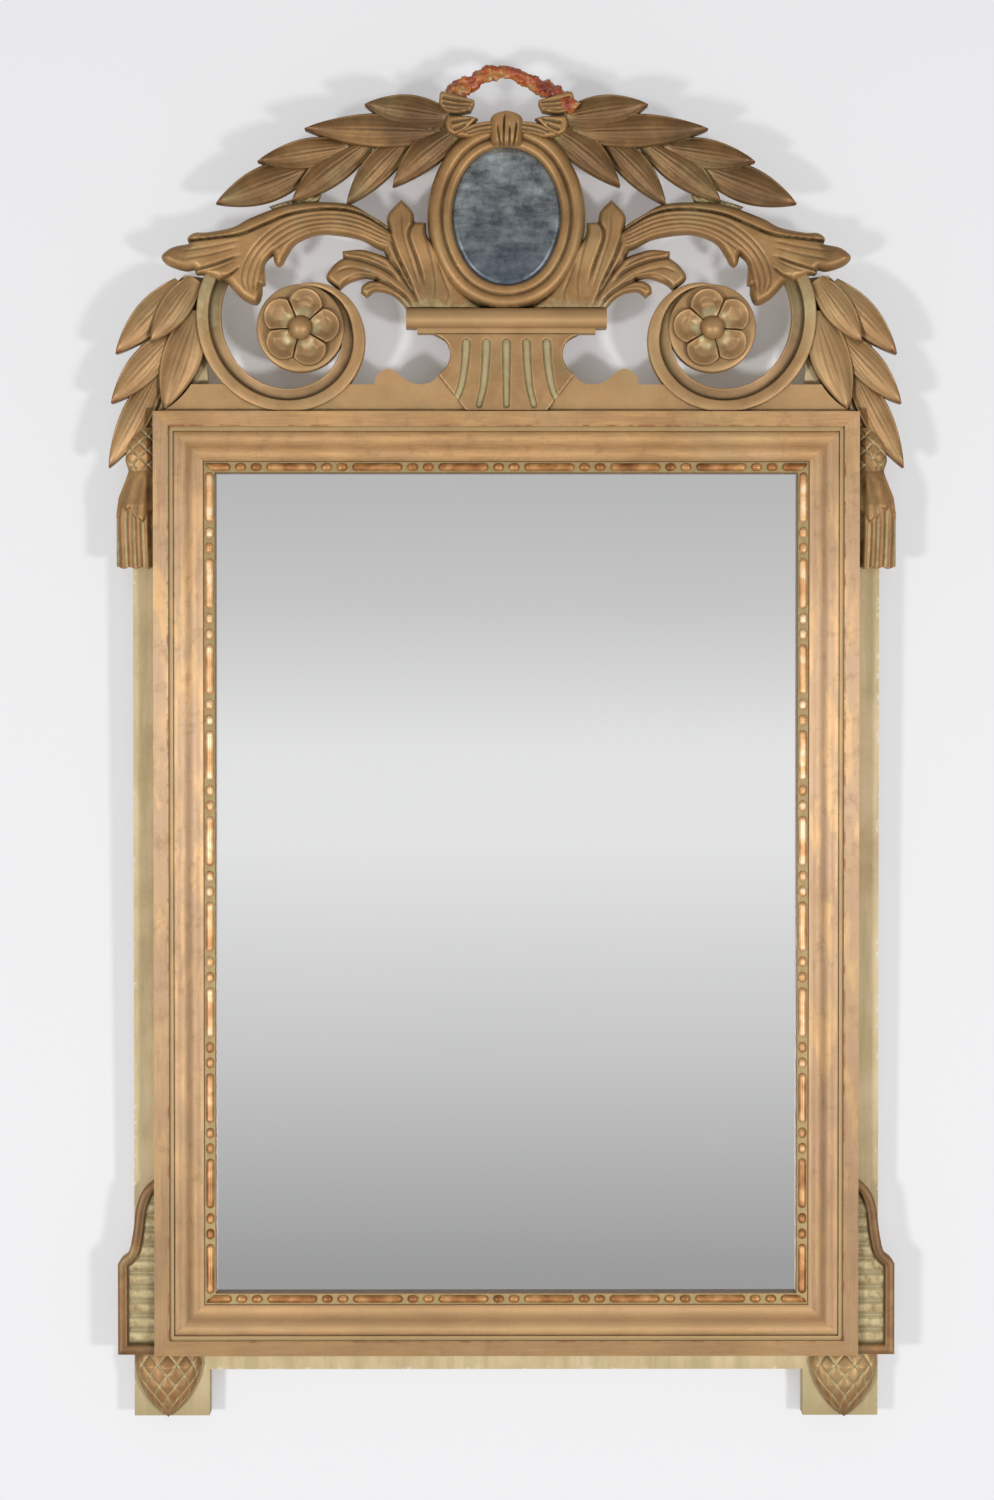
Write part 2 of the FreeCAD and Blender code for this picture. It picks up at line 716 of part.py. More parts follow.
def leaf(base, tip, width, bow, height):
    """Leaf with a rounded back: its prism within a long cylinder along its run."""
    first = at(base)
    run = at(tip) - first
    crown = height * LEAF_CROWN
    half = (beside(base, tip, width / 2 + abs(bow)) - beside(base, tip, 0)).Length
    radius = (half * half + crown * crown) / (2 * crown)
    start = first - run * 0.5 + Vector(0, radius - height, 0)
    back = Part.makeCylinder(radius, run.Length * 2, start, run)
    return relief(leaf_face(base, tip, width, bow), height).common(back)


# Ears: plain boards on top of the stiles, behind the garlands.
stile_top_w = (number(STILE_TOP) - frame_top) / stretch_w
ear_inner = number(HALF_OPENING) / stretch_u
ear_plan = plan([
    [(337, stile_top_w), (331.5, 56), (313.5, 97), (290, 124)],
    [(290, 124), (264, 120)],
    [(264, 120), (269, 72), (ear_inner, stile_top_w)],
    [(ear_inner, stile_top_w), (337, stile_top_w)],
])
pair("ear", ear_plan.extrude(Vector(0, number("sizes.ear_depth"), 0)))

# Crest spine: a batten lapped into the top rail, behind the urn and the oval.
spine_across = ("-sizes.spine_width / 2", "sizes.spine_width / 2")
spine_upper = box("spine_upper", spine_across, (FACE, RECESS),
                  (STILE_TOP, f"{STILE_TOP} + sizes.spine_height"))
spine_tongue = box("spine_tongue", spine_across, (f"{RECESS} - sizes.spine_lap_depth", RECESS),
                   (LAP_BOTTOM, STILE_TOP))
node(cut("spine_drilled", fuse("spine_blank", [spine_upper, spine_tongue]), spine_holes), "crest_spine")

# Urn: a waisted block with fanned flutes, and its heavy rim.
WAIST_BOW = 0.3
urn_body = doc.addObject("PartDesign::Body", "urn_body")
urn_sketch = new_sketch(urn_body, "urn_outline", "XZ_Plane", "sizes.back_depth")
urn_half = [
    ("sizes.urn_foot_width / 2", FRAME_TOP),
    ("sizes.urn_belly_width / 2", f"{FRAME_TOP} + sizes.urn_belly_height"),
    ("sizes.urn_top_width / 2", f"{FRAME_TOP} + sizes.urn_height"),
]
urn_corners = urn_half + [(f"-({across})", up) for across, up in reversed(urn_half)]
add_loop(urn_sketch, urn_corners, {1: WAIST_BOW, 3: WAIST_BOW})
pad(urn_body, urn_sketch, "sizes.urn_depth")
doc.recompute()
urn_plan = Part.Face(Part.Wire(Part.__sortEdges__(urn_sketch.Shape.Edges)))

urn_front = face_plane - number("sizes.urn_depth")
flute_radius = number("sizes.flute_width") / 2
flute_margin = number("sizes.flute_margin")
flute_low = frame_top + flute_margin + flute_radius
flute_high = frame_top + number("sizes.urn_height") - flute_margin - flute_radius
flute_count = int(number("sizes.flute_count"))
flutes = []
for index in range(flute_count):
    step = index - (flute_count - 1) / 2
    low_point = Vector(step * number("sizes.flute_bottom_pitch"), urn_front, flute_low)
    high_point = Vector(step * number("sizes.flute_top_pitch"), urn_front, flute_high)
    flutes.append(capsule(low_point, high_point, flute_radius))
flute_tools = feature("urn_flutes", Part.makeCompound(flutes))
node(cut("urn_fluted", urn_body, [flute_tools] + spine_holes[2:]), "urn")

RIM_BOW = 0.35
rim_low = f"({RIM_TOP} - sizes.rim_height)"
rim_front = f"({FACE} - sizes.rim_depth)"
rim_shoulder = f"({FACE} - sizes.rim_depth + sizes.rim_height * {RIM_BOW})"
rim_body = doc.addObject("PartDesign::Body", "rim_body")
rim_sketch = new_sketch(rim_body, "rim_profile", "YZ_Plane")
add_loop(rim_sketch, [(FACE, rim_low), (rim_shoulder, rim_low), (rim_shoulder, RIM_TOP), (FACE, RIM_TOP)],
         {1: RIM_BOW})
pad(rim_body, rim_sketch, "sizes.rim_width", symmetric=True)
under_rim = box("under_rim", ("-sizes.under_rim_width / 2", "sizes.under_rim_width / 2"),
                (f"{FACE} - sizes.urn_depth", FACE), (f"{rim_low} - sizes.under_rim_height", rim_low))
node(fuse("rim_whole", [rim_body, under_rim]), "urn_rim")
doc.recompute()
rim_box = rim_body.Shape.BoundBox
rim_tool = Part.makeBox(rim_box.XLength, THROUGH, rim_box.ZLength, Vector(rim_box.XMin, -THROUGH / 2, rim_box.ZMin))

# Oval looking glass: a four-arc oval, so that its rings keep an even width all round.
oval_half_width = number("sizes.oval_width") / 2
oval_half_height = number("sizes.oval_height") / 2
oval_ring = number("sizes.oval_inner_ring") + number("sizes.oval_outer_ring")
oval_middle = number(RIM_TOP) + oval_half_height + oval_ring - number("sizes.oval_seat")


def oval_wire(grow, depth):
    """Four tangent arcs round the oval glass, grown outwards, at one depth."""
    end_radius = number("sizes.oval_end_radius")
    end_centre = oval_half_height - end_radius
    spare = oval_half_width - end_radius
    side_radius = (end_centre ** 2 + oval_half_width ** 2 - end_radius ** 2) / (2 * spare)
    side_centre = side_radius - oval_half_width
    lean = math.atan2(end_centre, side_centre)
    side = side_radius + grow

    def spot(across, up):
        return Vector(across, depth, oval_middle + up)

    join_x = side * math.cos(lean) - side_centre
    join_z = side * math.sin(lean)
    wide = oval_half_width + grow
    tall = oval_half_height + grow
    right = Part.Arc(spot(join_x, -join_z), spot(wide, 0), spot(join_x, join_z))
    top = Part.Arc(spot(join_x, join_z), spot(0, tall), spot(-join_x, join_z))
    left = Part.Arc(spot(-join_x, join_z), spot(-wide, 0), spot(-join_x, -join_z))
    bottom = Part.Arc(spot(-join_x, -join_z), spot(0, -tall), spot(join_x, -join_z))
    return Part.Wire([arc.toShape() for arc in (right, top, left, bottom)])


def oval_band(inner, outer, back, front):
    """Flat ring between two growths of the oval; with no inner growth, a plate."""
    plate = Part.Face(oval_wire(outer, back))
    if inner is not None:
        plate = plate.cut(Part.Face(oval_wire(inner, back)))
    return plate.extrude(Vector(0, front - back, 0))


def oval_torus(grow, depth, radius):
    """Half-round moulding along the oval."""
    path = oval_wire(grow, depth)
    start = path.Edges[0].Vertexes[0].Point
    tangent = path.Edges[0].tangentAt(path.Edges[0].FirstParameter)
    section = Part.Wire([Part.makeCircle(radius, start, tangent)])
    return path.makePipeShell([section], True, False)


oval_rebate = number("sizes.oval_rebate")
oval_backing_front = face_plane - number("sizes.oval_backing_thickness")
oval_glass_front = oval_backing_front - number("sizes.oval_glass_thickness")
inner_radius = number("sizes.oval_inner_ring") / 2
outer_radius = number("sizes.oval_outer_ring") / 2
ring_face = oval_glass_front - inner_radius / 2
oval_solid = joined([
    oval_band(0, oval_ring, face_plane, ring_face),
    oval_torus(inner_radius, ring_face, inner_radius),
    oval_torus(2 * inner_radius + outer_radius, ring_face, outer_radius),
])
oval_pocket = oval_band(None, oval_rebate, face_plane, oval_glass_front)

# Ribbon knot: let into the top of the oval's ring, with three vertical folds.
knot_half = number("sizes.knot_size") / 2
knot_back = ring_face - inner_radius / 2
knot_front = knot_back - number("sizes.knot_depth")
knot_low = oval_middle + oval_half_height
fold_radius = number("sizes.knot_size") / 6
knot_block = Part.makeBox(2 * knot_half, knot_back - knot_front - fold_radius, 2 * knot_half,
                          Vector(-knot_half, knot_front + fold_radius, knot_low))
folds = [Part.makeCylinder(fold_radius, 2 * knot_half,
                           Vector(step * 2 * fold_radius, knot_front + fold_radius, knot_low))
         for step in (-1, 0, 1)]
knot = joined([knot_block] + folds)
node(feature("ribbon_knot", knot), "ribbon_knot")
knot_tool = Part.makeBox(2 * knot_half, THROUGH, 2 * knot_half, Vector(-knot_half, knot_back - THROUGH, knot_low))
knot_tool_through = Part.makeBox(2 * knot_half, THROUGH, 2 * knot_half,
                                 Vector(-knot_half, -THROUGH / 2, knot_low))

node(feature("oval_frame", trimmed(oval_solid, [oval_pocket, rim_tool, knot_tool])), "oval_frame")
oval_fit = oval_rebate - number("sizes.fit_clearance")
node(feature("oval_glass", oval_band(None, oval_fit, oval_backing_front, oval_glass_front)), "oval_glass")
node(feature("oval_backing", oval_band(None, oval_fit, face_plane, oval_backing_front)), "oval_backing")
oval_tool = through(Part.Face(oval_wire(oval_ring, face_plane)))

# Volutes: a spiral band round an eye, with a raised outer flat, and a rosette on each eye.
volute_centre = (185, 75)
volute_radius = number("sizes.volute_radius")
volute_growth = number("sizes.volute_growth")
volute_band = number("sizes.volute_band")
VOLUTE_END = 298
VOLUTE_OPEN = 100
SPIRAL_STEP = 18


def spiral_point(angle, inset):
    """Point on the spiral, its angle in degrees from the eye's top towards the middle and down."""
    radius = volute_radius + volute_growth * angle / 90 - inset
    turn = math.radians(angle)
    middle = at(volute_centre)
    return middle + Vector(-radius * math.sin(turn), 0, radius * math.cos(turn))


def spiral(first, last, inset):
    """Smooth curve along the spiral; inset gives its distance inside the outer edge."""
    steps = math.ceil(abs(last - first) / SPIRAL_STEP)
    angles = [first + (last - first) * step / steps for step in range(steps + 1)]
    curve = Part.BSplineCurve()
    curve.interpolate([spiral_point(angle, inset(angle)) for angle in angles])
    return curve.toShape()


FLAT_START = 0.2


def flat_inset(angle):
    """Width of the raised outer flat, which widens over the first quarter turn."""
    return number("sizes.volute_flat") * min(1, FLAT_START + (1 - FLAT_START) * angle / 90)


def spiral_face(inner_start, inset):
    """Face between the spiral's outer edge and an inner edge that begins at an angle of its own."""
    outer = spiral(0, VOLUTE_END, lambda angle: 0)
    inner = spiral(VOLUTE_END, inner_start, inset)
    end = Part.makeLine(outer.Vertexes[-1].Point, inner.Vertexes[0].Point)
    start = Part.makeLine(inner.Vertexes[-1].Point, outer.Vertexes[0].Point)
    return Part.Face(Part.Wire([outer, end, inner, start]))


band_plan = spiral_face(VOLUTE_OPEN, lambda angle: volute_band)
eye_edge = Part.makeCircle(volute_radius, at(volute_centre), Vector(0, 1, 0))
eye_plan = Part.Face(Part.Wire([eye_edge]))
volute_ground = number("sizes.volute_ground")
flat_face = spiral_face(0, flat_inset)
volute = joined([relief(band_plan, volute_ground), relief(eye_plan, volute_ground),
                 relief(flat_face, volute_ground + number("sizes.volute_rise"))])
volute_tools = [through(band_plan), through(eye_plan)]
frame_tool = Part.makeBox(number("sizes.frame_width"), THROUGH, number("sizes.frame_height"),
                          Vector(-number(HALF_FRAME), -THROUGH / 2, number(FRAME_BOTTOM)))
pair("volute", trimmed(volute, [frame_tool]))

rosette_radius = number("sizes.rosette_radius")
petal_count = int(number("sizes.petal_count"))
PETAL_OVERLAP = 1.08
petal_sine = math.sin(math.pi / petal_count)
petal_half = rosette_radius * petal_sine / (1 + petal_sine) * PETAL_OVERLAP
rosette_depth = number("sizes.rosette_depth")
rosette_back = at(volute_centre) + Vector(0, -volute_ground, 0)
FIRST_PETAL = 103
petals = []
for index in range(petal_count):
    turn = math.radians(FIRST_PETAL + 360 * index / petal_count)
    out = Vector(math.cos(turn), 0, math.sin(turn)) * (rosette_radius - petal_half)
    petals.append(Part.makeCylinder(petal_half, rosette_depth, rosette_back + out, Vector(0, -1, 0)))
DOME_FLATNESS = 1.3
dome_radius = (rosette_radius ** 2 + rosette_depth ** 2) / (2 * rosette_depth) * DOME_FLATNESS
dome = Part.makeSphere(dome_radius, rosette_back + Vector(0, dome_radius - rosette_depth, 0))
boss_radius = number("sizes.boss_radius")
boss = Part.makeSphere(boss_radius, rosette_back + Vector(0, -rosette_depth + boss_radius / 2, 0))
behind = Part.makeBox(4 * boss_radius, 2 * boss_radius, 4 * boss_radius,
                      rosette_back + Vector(-2 * boss_radius, 0, -2 * boss_radius))
flower = joined([joined(petals).common(dome), boss.cut(behind)])
pair("rosette", trimmed(flower, [relief(flat_face, THROUGH)]))

# Acanthus: an upright frond beside the oval, a leaf leaning outwards and a curl below it.
frond_plan = plan([
    [(70, 86), (54, 124), (72, 158), (72, 170)],
    [(72, 170), (82.5, 171)],
    [(82.5, 171), (84.5, 180.5), (94.5, 191)],
    [(94.5, 191), (107, 176.5), (105.5, 161)],
    [(105.5, 161), (115.5, 160)],
    [(115.5, 160), (112.5, 150), (106.5, 138), (99.5, 129.5)],
    [(99.5, 129.5), (92, 112), (89, 86)],
    [(89, 86), (70, 86)],
])
outer_leaf_plan = plan([
    [(94, 122), (112, 139), (131.5, 146), (147.5, 144.5)],
    [(147.5, 144.5), (147, 138.5)],
    [(147, 138.5), (156, 131.5), (162, 120), (150, 109)],
    [(150, 109), (143, 115), (128.5, 120), (110, 114), (90, 104)],
    [(90, 104), (94, 122)],
])
curl_plan = plan([
    [(84, 102), (104, 113), (122, 117.5), (130, 113), (131, 107)],
    [(131, 107), (125.5, 102.5)],
    [(125.5, 102.5), (117.5, 108), (101, 106), (87, 99), (80, 90)],
    [(80, 90), (84, 102)],
])
leaf_carving = number("sizes.leaf_carving")
FROND_SHARE = 1.4
CURL_SHARE = 0.8
acanthus = joined([relief(frond_plan, leaf_carving * FROND_SHARE), relief(outer_leaf_plan, leaf_carving),
                   relief(curl_plan, leaf_carving * CURL_SHARE)])
acanthus_tools = [through(face) for face in (frond_plan, outer_leaf_plan, curl_plan)]
pair("acanthus", trimmed(acanthus, [oval_tool, rim_tool] + volute_tools))

# Scroll leaf: springs from the acanthus, rolls outwards over the volute and droops onto its eye.
scroll_plan = plan([
    [(100, 160), (110, 169.5), (124, 178), (135, 184.5), (146, 187.5), (171, 188.5), (198.5, 185.5),
     (229.5, 174.5), (246, 166), (268, 161.5), (280, 161), (286.5, 156.5), (285.5, 151)],
    [(285.5, 151), (301, 147.5), (310, 139.5), (304.5, 132), (289.5, 127), (280.5, 128)],
    [(280.5, 128), (278.5, 123.5), (271.5, 123), (257.5, 117)],
    [(257.5, 117), (250, 116), (246, 110.5), (236, 98), (227.5, 95.5), (220.5, 103.5), (223, 113)],
    [(223, 113), (216.5, 114)],
    [(216.5, 114), (217, 120), (217, 133), (210, 141)],
    [(210, 141), (208, 133), (205, 130.5), (201, 133), (196.5, 141), (188, 152), (170, 159),
     (153.5, 159), (131.5, 155), (115, 146.5), (100, 142)],
    [(100, 142), (100, 160)],
])
scroll_cutters = acanthus_tools + volute_tools + [oval_tool]
SCROLL_SHARE = 1.2
scroll_leaf = trimmed(relief(scroll_plan, leaf_carving * SCROLL_SHARE), scroll_cutters)
pair("scroll_leaf", scroll_leaf)
scroll_tool = through(scroll_plan)

# Ribbon: a short frayed tail on each side of the knot, and the loop that bridges them over the top.
tail_plan = plan([
    [(0, 246), (31.5, 246.5), (45, 246), (53, 250), (56, 258)],
    [(56, 258), (60, 268), (62, 276), (60, 284)],
    [(60, 284), (49, 281), (32.5, 275)],
    [(32.5, 275), (36, 267), (44, 260)],
    [(44, 260), (30.5, 259), (0, 258)],
    [(0, 258), (0, 246)],
])
ribbon_thickness = number("sizes.ribbon_thickness")
tail = trimmed(relief(tail_plan, ribbon_thickness), [oval_tool, knot_tool_through])
pair("ribbon_tail", tail)
tail_tools = [through(tail_plan), through(tail_plan.mirror(Vector(0, 0, 0), Vector(1, 0, 0)))]
LOOP = [(-52, 284), (0, 306), (58, 276)]
loop_lift = Vector(0, -ribbon_thickness / 2, 0)
loop_path = Part.Wire([Part.Arc(*[at(point) + loop_lift for point in LOOP]).toShape()])
loop_edge = loop_path.Edges[0]
loop_section = Part.Wire([Part.makeCircle(ribbon_thickness / 2, loop_edge.valueAt(loop_edge.FirstParameter),
                                          loop_edge.tangentAt(loop_edge.FirstParameter))])
loop = loop_path.makePipeShell([loop_section], True, False)
node(feature("ribbon_loop", trimmed(loop, tail_tools)), "ribbon_loop")

# Laurel branches: overlapping leaves that spread from the knot over the scrolls.
# Each leaf is its base, its tip, its width, its bow and its share of the carving's depth.
LAUREL = [
    ((52, 264), (127, 274.5), 29, 0, 1.1),
    ((60, 251), (181, 253), 30, 0, 1.25),
    ((142, 238), (223.5, 224), 27, 0, 1.0),
    ((178, 220), (261, 187), 33, 0, 0.85),
    ((38, 257), (102, 202), 29, 4, 1.0),
    ((86, 248), (143.5, 185.5), 27, 2.5, 0.9),
    ((124, 243), (193, 188), 30, 2, 0.8),
    ((166, 200), (240, 176), 20, 0, 0.4),
]
laurel = joined([leaf(base, tip, width, bow, leaf_carving * share) for base, tip, width, bow, share in LAUREL])
pair("laurel", trimmed(laurel, [oval_tool, scroll_tool, knot_tool_through] + tail_tools[:1] + acanthus_tools))

# Garlands: leaves that fall from the volutes over the frame's upper corners.
GARLAND = [
    ((293, 116), (351, 52), 29, 0, 1.0),
    ((279, 119), (319, 62), 27, 0, 1.25),
    ((300, 70), (355, 7.5), 29, 0, 1.1),
    ((278, 90), (308, 1), 36, 0, 0.8),
    ((312, 38), (357.5, -50), 27, 0, 1.0),
]
garland_faces = [leaf_face(base, tip, width, bow) for base, tip, width, bow, share in GARLAND]
garland = joined([leaf(base, tip, width, bow, leaf_carving * share) for base, tip, width, bow, share in GARLAND])
garland = trimmed(garland, volute_tools + [scroll_tool, frame_tool])
pair("garland", garland)
garland_tools = [through(face) for face in garland_faces]

# Crest rails between the urn and the volutes, and the crest ends outside the volutes.
RAIL_TOP_W = 24.5
rail_plan = plan([
    [(20, 0), (20, 50)],
    [(20, 50), (61, 33)],
    [(61, 33), (75.6, 24.5), (88, 27), (94, 31), (105.5, 38.5), (116, 33), (118.5, RAIL_TOP_W)],
    [(118.5, RAIL_TOP_W), (185, RAIL_TOP_W)],
    [(185, RAIL_TOP_W), (185, 0)],
    [(185, 0), (20, 0)],
])
rail_carving = number("sizes.rail_carving")
pair("crest_rail", trimmed(relief(rail_plan, rail_carving), [through(urn_plan)] + volute_tools))
end_plan = plan([
    [(185, 0), (185, RAIL_TOP_W)],
    [(185, RAIL_TOP_W), (309, RAIL_TOP_W)],
    [(309, RAIL_TOP_W), (309, 0)],
    [(309, 0), (185, 0)],
])
pair("crest_end", trimmed(relief(end_plan, rail_carving), volute_tools + garland_tools))


# Corner ornaments are lofted through half-round sections, each a level, a width and a share of the depth.
def half_round(centre, level, width, depth):
    left = Vector(centre - width / 2, face_plane, level)
    right = Vector(centre + width / 2, face_plane, level)
    bow = Part.Arc(left, Vector(centre, face_plane - depth, level), right).toShape()
    return Part.Wire([bow, Part.makeLine(right, left)])


def lofted(centre, top, height, width, depth, sections):
    """Loft down from top; a section is its share of the height, the width and the depth."""
    wires = [half_round(centre, top - height * drop, width * broad, depth * deep)
             for drop, broad, deep in sections]
    return Part.makeLoft(wires, True, False)


# Tassels: a netted knot over a fringed skirt, on the stiles beside the moulding.
tassel_width = number("sizes.tassel_width")
tassel_centre = number(HALF_FRAME) + tassel_width / 2
tassel_top = frame_top - number("sizes.tassel_drop")
tassel_depth = number("sizes.tassel_depth")
KNOT_SECTIONS = [(0, 0.35, 0.5), (0.25, 0.7, 0.9), (0.6, 0.76, 1), (1, 0.56, 0.7)]
SKIRT_SECTIONS = [(0, 0.56, 0.7), (0.3, 0.86, 0.95), (0.6, 0.98, 1), (1, 0.98, 0.9)]
knot_height = number("sizes.tassel_knot_height")
tassel_parts = [
    lofted(tassel_centre, tassel_top, knot_height, tassel_width, tassel_depth, KNOT_SECTIONS),
    lofted(tassel_centre, tassel_top - knot_height, number("sizes.tassel_skirt_height"), tassel_width,
           tassel_depth, SKIRT_SECTIONS),
]
pair("tassel", trimmed(joined(tassel_parts), garland_tools))

# Pendants: pine cones on the feet, under the brackets.
PENDANT_SECTIONS = [(0, 0.72, 0.7), (0.2, 0.97, 1), (0.45, 0.95, 1), (0.75, 0.62, 0.72), (1, 0.12, 0.2)]
pendant_width = number("sizes.pendant_width")
pendant_centre = number(HALF_BACK) - pendant_width / 2
pair("pendant", lofted(pendant_centre, number(FRAME_BOTTOM), number("sizes.pendant_height"), pendant_width,
                       number("sizes.pendant_depth"), PENDANT_SECTIONS))


# Brackets: shouldered blocks beside the lower corners, ribbed by level grooves inside a border.
BRACKET_BOW = 0.2


def bracket(side, sign):
    body = doc.addObject("PartDesign::Body", f"bracket_body_{side}")
    sketch = new_sketch(body, f"bracket_outline_{side}", "XZ_Plane", "sizes.back_depth")
    mark = "" if sign > 0 else "-"
    inner = f"{HALF_FRAME}"
    outline = [
        (inner, "0"),
        (f"({inner} + sizes.bracket_width)", "0"),
        (f"({inner} + sizes.bracket_width)", "sizes.bracket_shoulder"),
        (f"({inner} + sizes.bracket_neck)",
         "(sizes.bracket_shoulder + sizes.bracket_width - sizes.bracket_neck)"),
        (f"({inner} + sizes.bracket_cap)", "(sizes.bracket_height - sizes.bracket_cap)"),
        (inner, "sizes.bracket_height"),
    ]
    corners = [(f"{mark}{across}", f"{FRAME_BOTTOM} + {up}") for across, up in outline]
    add_loop(sketch, corners, {2: -sign * BRACKET_BOW, 4: -sign * BRACKET_BOW})
    pad(body, sketch, "sizes.bracket_depth")
    front = f"({FACE} - sizes.bracket_depth)"
    grooves = []
    for index in range(int(number("sizes.bracket_grooves"))):
        low = f"({FRAME_BOTTOM} + sizes.bracket_border + {index} * sizes.bracket_pitch)"
        across = span(sign, inner, f"{inner} + sizes.bracket_width - sizes.bracket_border")
        grooves.append(box(f"groove_{side}_{index}", across, (front, f"{front} + sizes.bracket_groove"),
                           (low, f"{low} + sizes.bracket_groove")))
    node(cut(f"bracket_ribbed_{side}", body, grooves), f"bracket_{side}")


for side, sign in (("left", -1), ("right", 1)):
    bracket(side, sign)

# Hangers: a strap with a rolled barrel on the recessed top rail, and a ring that swings in the barrel.
RING_RADIUS = "(sizes.ring_wire / 2)"
BORE_RADIUS = f"({RING_RADIUS} + sizes.fit_clearance)"
BARREL_RADIUS = f"({BORE_RADIUS} + sizes.barrel_wall)"
RING_DEPTH = f"({STRAP_BACK} + sizes.ring_clearance + {RING_RADIUS})"


def hanger_strap(side, sign):
    middle = f"({sign} * sizes.hanger_offset)"
    across = (f"{middle} - sizes.strap_width / 2", f"{middle} + sizes.strap_width / 2")
    plate = box(f"plate_{side}", across, (RECESS, STRAP_BACK), (STRAP_BOTTOM, HANGER_AXIS))
    start = (across[0], RING_DEPTH, HANGER_AXIS)
    barrel = rod(f"barrel_{side}", BARREL_RADIUS, "sizes.strap_width", start, ACROSS)
    bore = rod(f"bore_{side}", BORE_RADIUS, "sizes.strap_width", start, ACROSS)
    holes = hanger_holes[:2] if sign < 0 else hanger_holes[2:]
    node(cut(f"strap_bored_{side}", fuse(f"strap_rolled_{side}", [plate, barrel]), [bore] + holes),
         f"hanger_strap_{side}")


def hanger_ring(side, sign):
    middle = Vector(sign * number("sizes.hanger_offset"), number(RING_DEPTH), number(HANGER_AXIS))
    half = number("sizes.ring_half_width")
    corner = number("sizes.ring_corner")
    straight = number("sizes.ring_reach") - half
    soft = corner * (1 - math.sqrt(0.5))

    def spot(across, up):
        return middle + Vector(across, 0, up)

    path = Part.Wire([
        Part.makeLine(spot(corner - half, 0), spot(half - corner, 0)),
        Part.Arc(spot(half - corner, 0), spot(half - soft, -soft), spot(half, -corner)).toShape(),
        Part.makeLine(spot(half, -corner), spot(half, -straight)),
        Part.Arc(spot(half, -straight), spot(0, -straight - half), spot(-half, -straight)).toShape(),
        Part.makeLine(spot(-half, -straight), spot(-half, -corner)),
        Part.Arc(spot(-half, -corner), spot(soft - half, -soft), spot(corner - half, 0)).toShape(),
    ])
    section = Part.Wire([Part.makeCircle(number(RING_RADIUS), spot(corner - half, 0), Vector(1, 0, 0))])
    ring = path.makePipeShell([section], True, False)
    node(feature(f"hanger_ring_{side}", ring), f"hanger_ring_{side}")


for side, sign in (("left", -1), ("right", 1)):
    hanger_strap(side, sign)
    hanger_ring(side, sign)

doc.recompute()

for item in doc.Objects:
    if "Invalid" in item.State or "Error" in item.State:
        raise ValueError(f"{item.Label} failed: {item.State}")
for item in nodes:
    shape = item.Shape
    if shape.isNull() or not shape.isValid() or not shape.Solids:
        raise ValueError(f"{item.Label} has no valid solid")

os.makedirs("parts", exist_ok=True)
for item in nodes:
    item.Shape.exportStep(f"parts/{item.Label}.step")
print(len(nodes), "pieces written")
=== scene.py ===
import math

import bpy
import numpy as np
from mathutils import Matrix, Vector, noise
from mathutils.geometry import delaunay_2d_cdt


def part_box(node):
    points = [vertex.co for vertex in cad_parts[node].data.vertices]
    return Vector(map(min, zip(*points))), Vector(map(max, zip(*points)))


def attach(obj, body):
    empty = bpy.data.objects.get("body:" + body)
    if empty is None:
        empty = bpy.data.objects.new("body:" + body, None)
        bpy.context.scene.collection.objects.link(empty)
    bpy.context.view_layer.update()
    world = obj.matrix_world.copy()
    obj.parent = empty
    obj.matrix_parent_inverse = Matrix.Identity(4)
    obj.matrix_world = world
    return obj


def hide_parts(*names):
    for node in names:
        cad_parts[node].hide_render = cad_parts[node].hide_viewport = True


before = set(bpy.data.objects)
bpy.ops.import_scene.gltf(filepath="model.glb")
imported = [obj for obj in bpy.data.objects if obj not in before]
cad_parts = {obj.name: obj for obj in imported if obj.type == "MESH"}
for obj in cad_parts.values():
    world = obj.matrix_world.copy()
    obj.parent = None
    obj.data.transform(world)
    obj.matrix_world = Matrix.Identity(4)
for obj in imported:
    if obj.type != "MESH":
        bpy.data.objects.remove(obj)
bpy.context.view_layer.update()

# Looks of a carved and gilt hall mirror. Shapes are in millimetres, x to the right and z up as seen from the
# front, and a height is how far a surface stands in front of the plane that the carving is glued to.
MM = 0.001
BODY = "mirror"


def mm_box(node):
    """Lowest and highest corner of a node in millimetres."""
    low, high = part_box(node)
    return np.array(low) / MM, np.array(high) / MM


moulding_low, moulding_high = mm_box("moulding_right")
HALF_FRAME = moulding_high[0]
FRAME_BOTTOM = moulding_low[2]
FRAME_TOP = moulding_high[2]
FRAME_MIDDLE = (FRAME_BOTTOM + FRAME_TOP) / 2
FACE = moulding_high[1]
stile_low, stile_high = mm_box("back_stile_right")
HALF_BACK = stile_high[0]
STILE_FRONT = stile_low[1]
FOOT_BOTTOM = stile_low[2]
RAIL_BOTTOM = mm_box("back_rail_bottom")[0][2]


# Colours are written as 8-bit values and turned into linear light.
def colour(red, green, blue):
    linear = []
    for part in (red, green, blue):
        share = part / 255
        linear.append(share / 12.92 if share <= 0.04045 else ((share + 0.055) / 1.055) ** 2.4)
    return (*linear, 1)


# The darkest brown goes into hollows and grooves, as patina and as painted shade.
PATINA_AND_SHADE = colour(62, 46, 25)
KHAKI = colour(196, 182, 140)
KHAKI_DARK = colour(146, 130, 88)
BOLE = colour(134, 62, 36)
GESSO = colour(222, 214, 196)
FOOT_BROWN = colour(112, 87, 56)


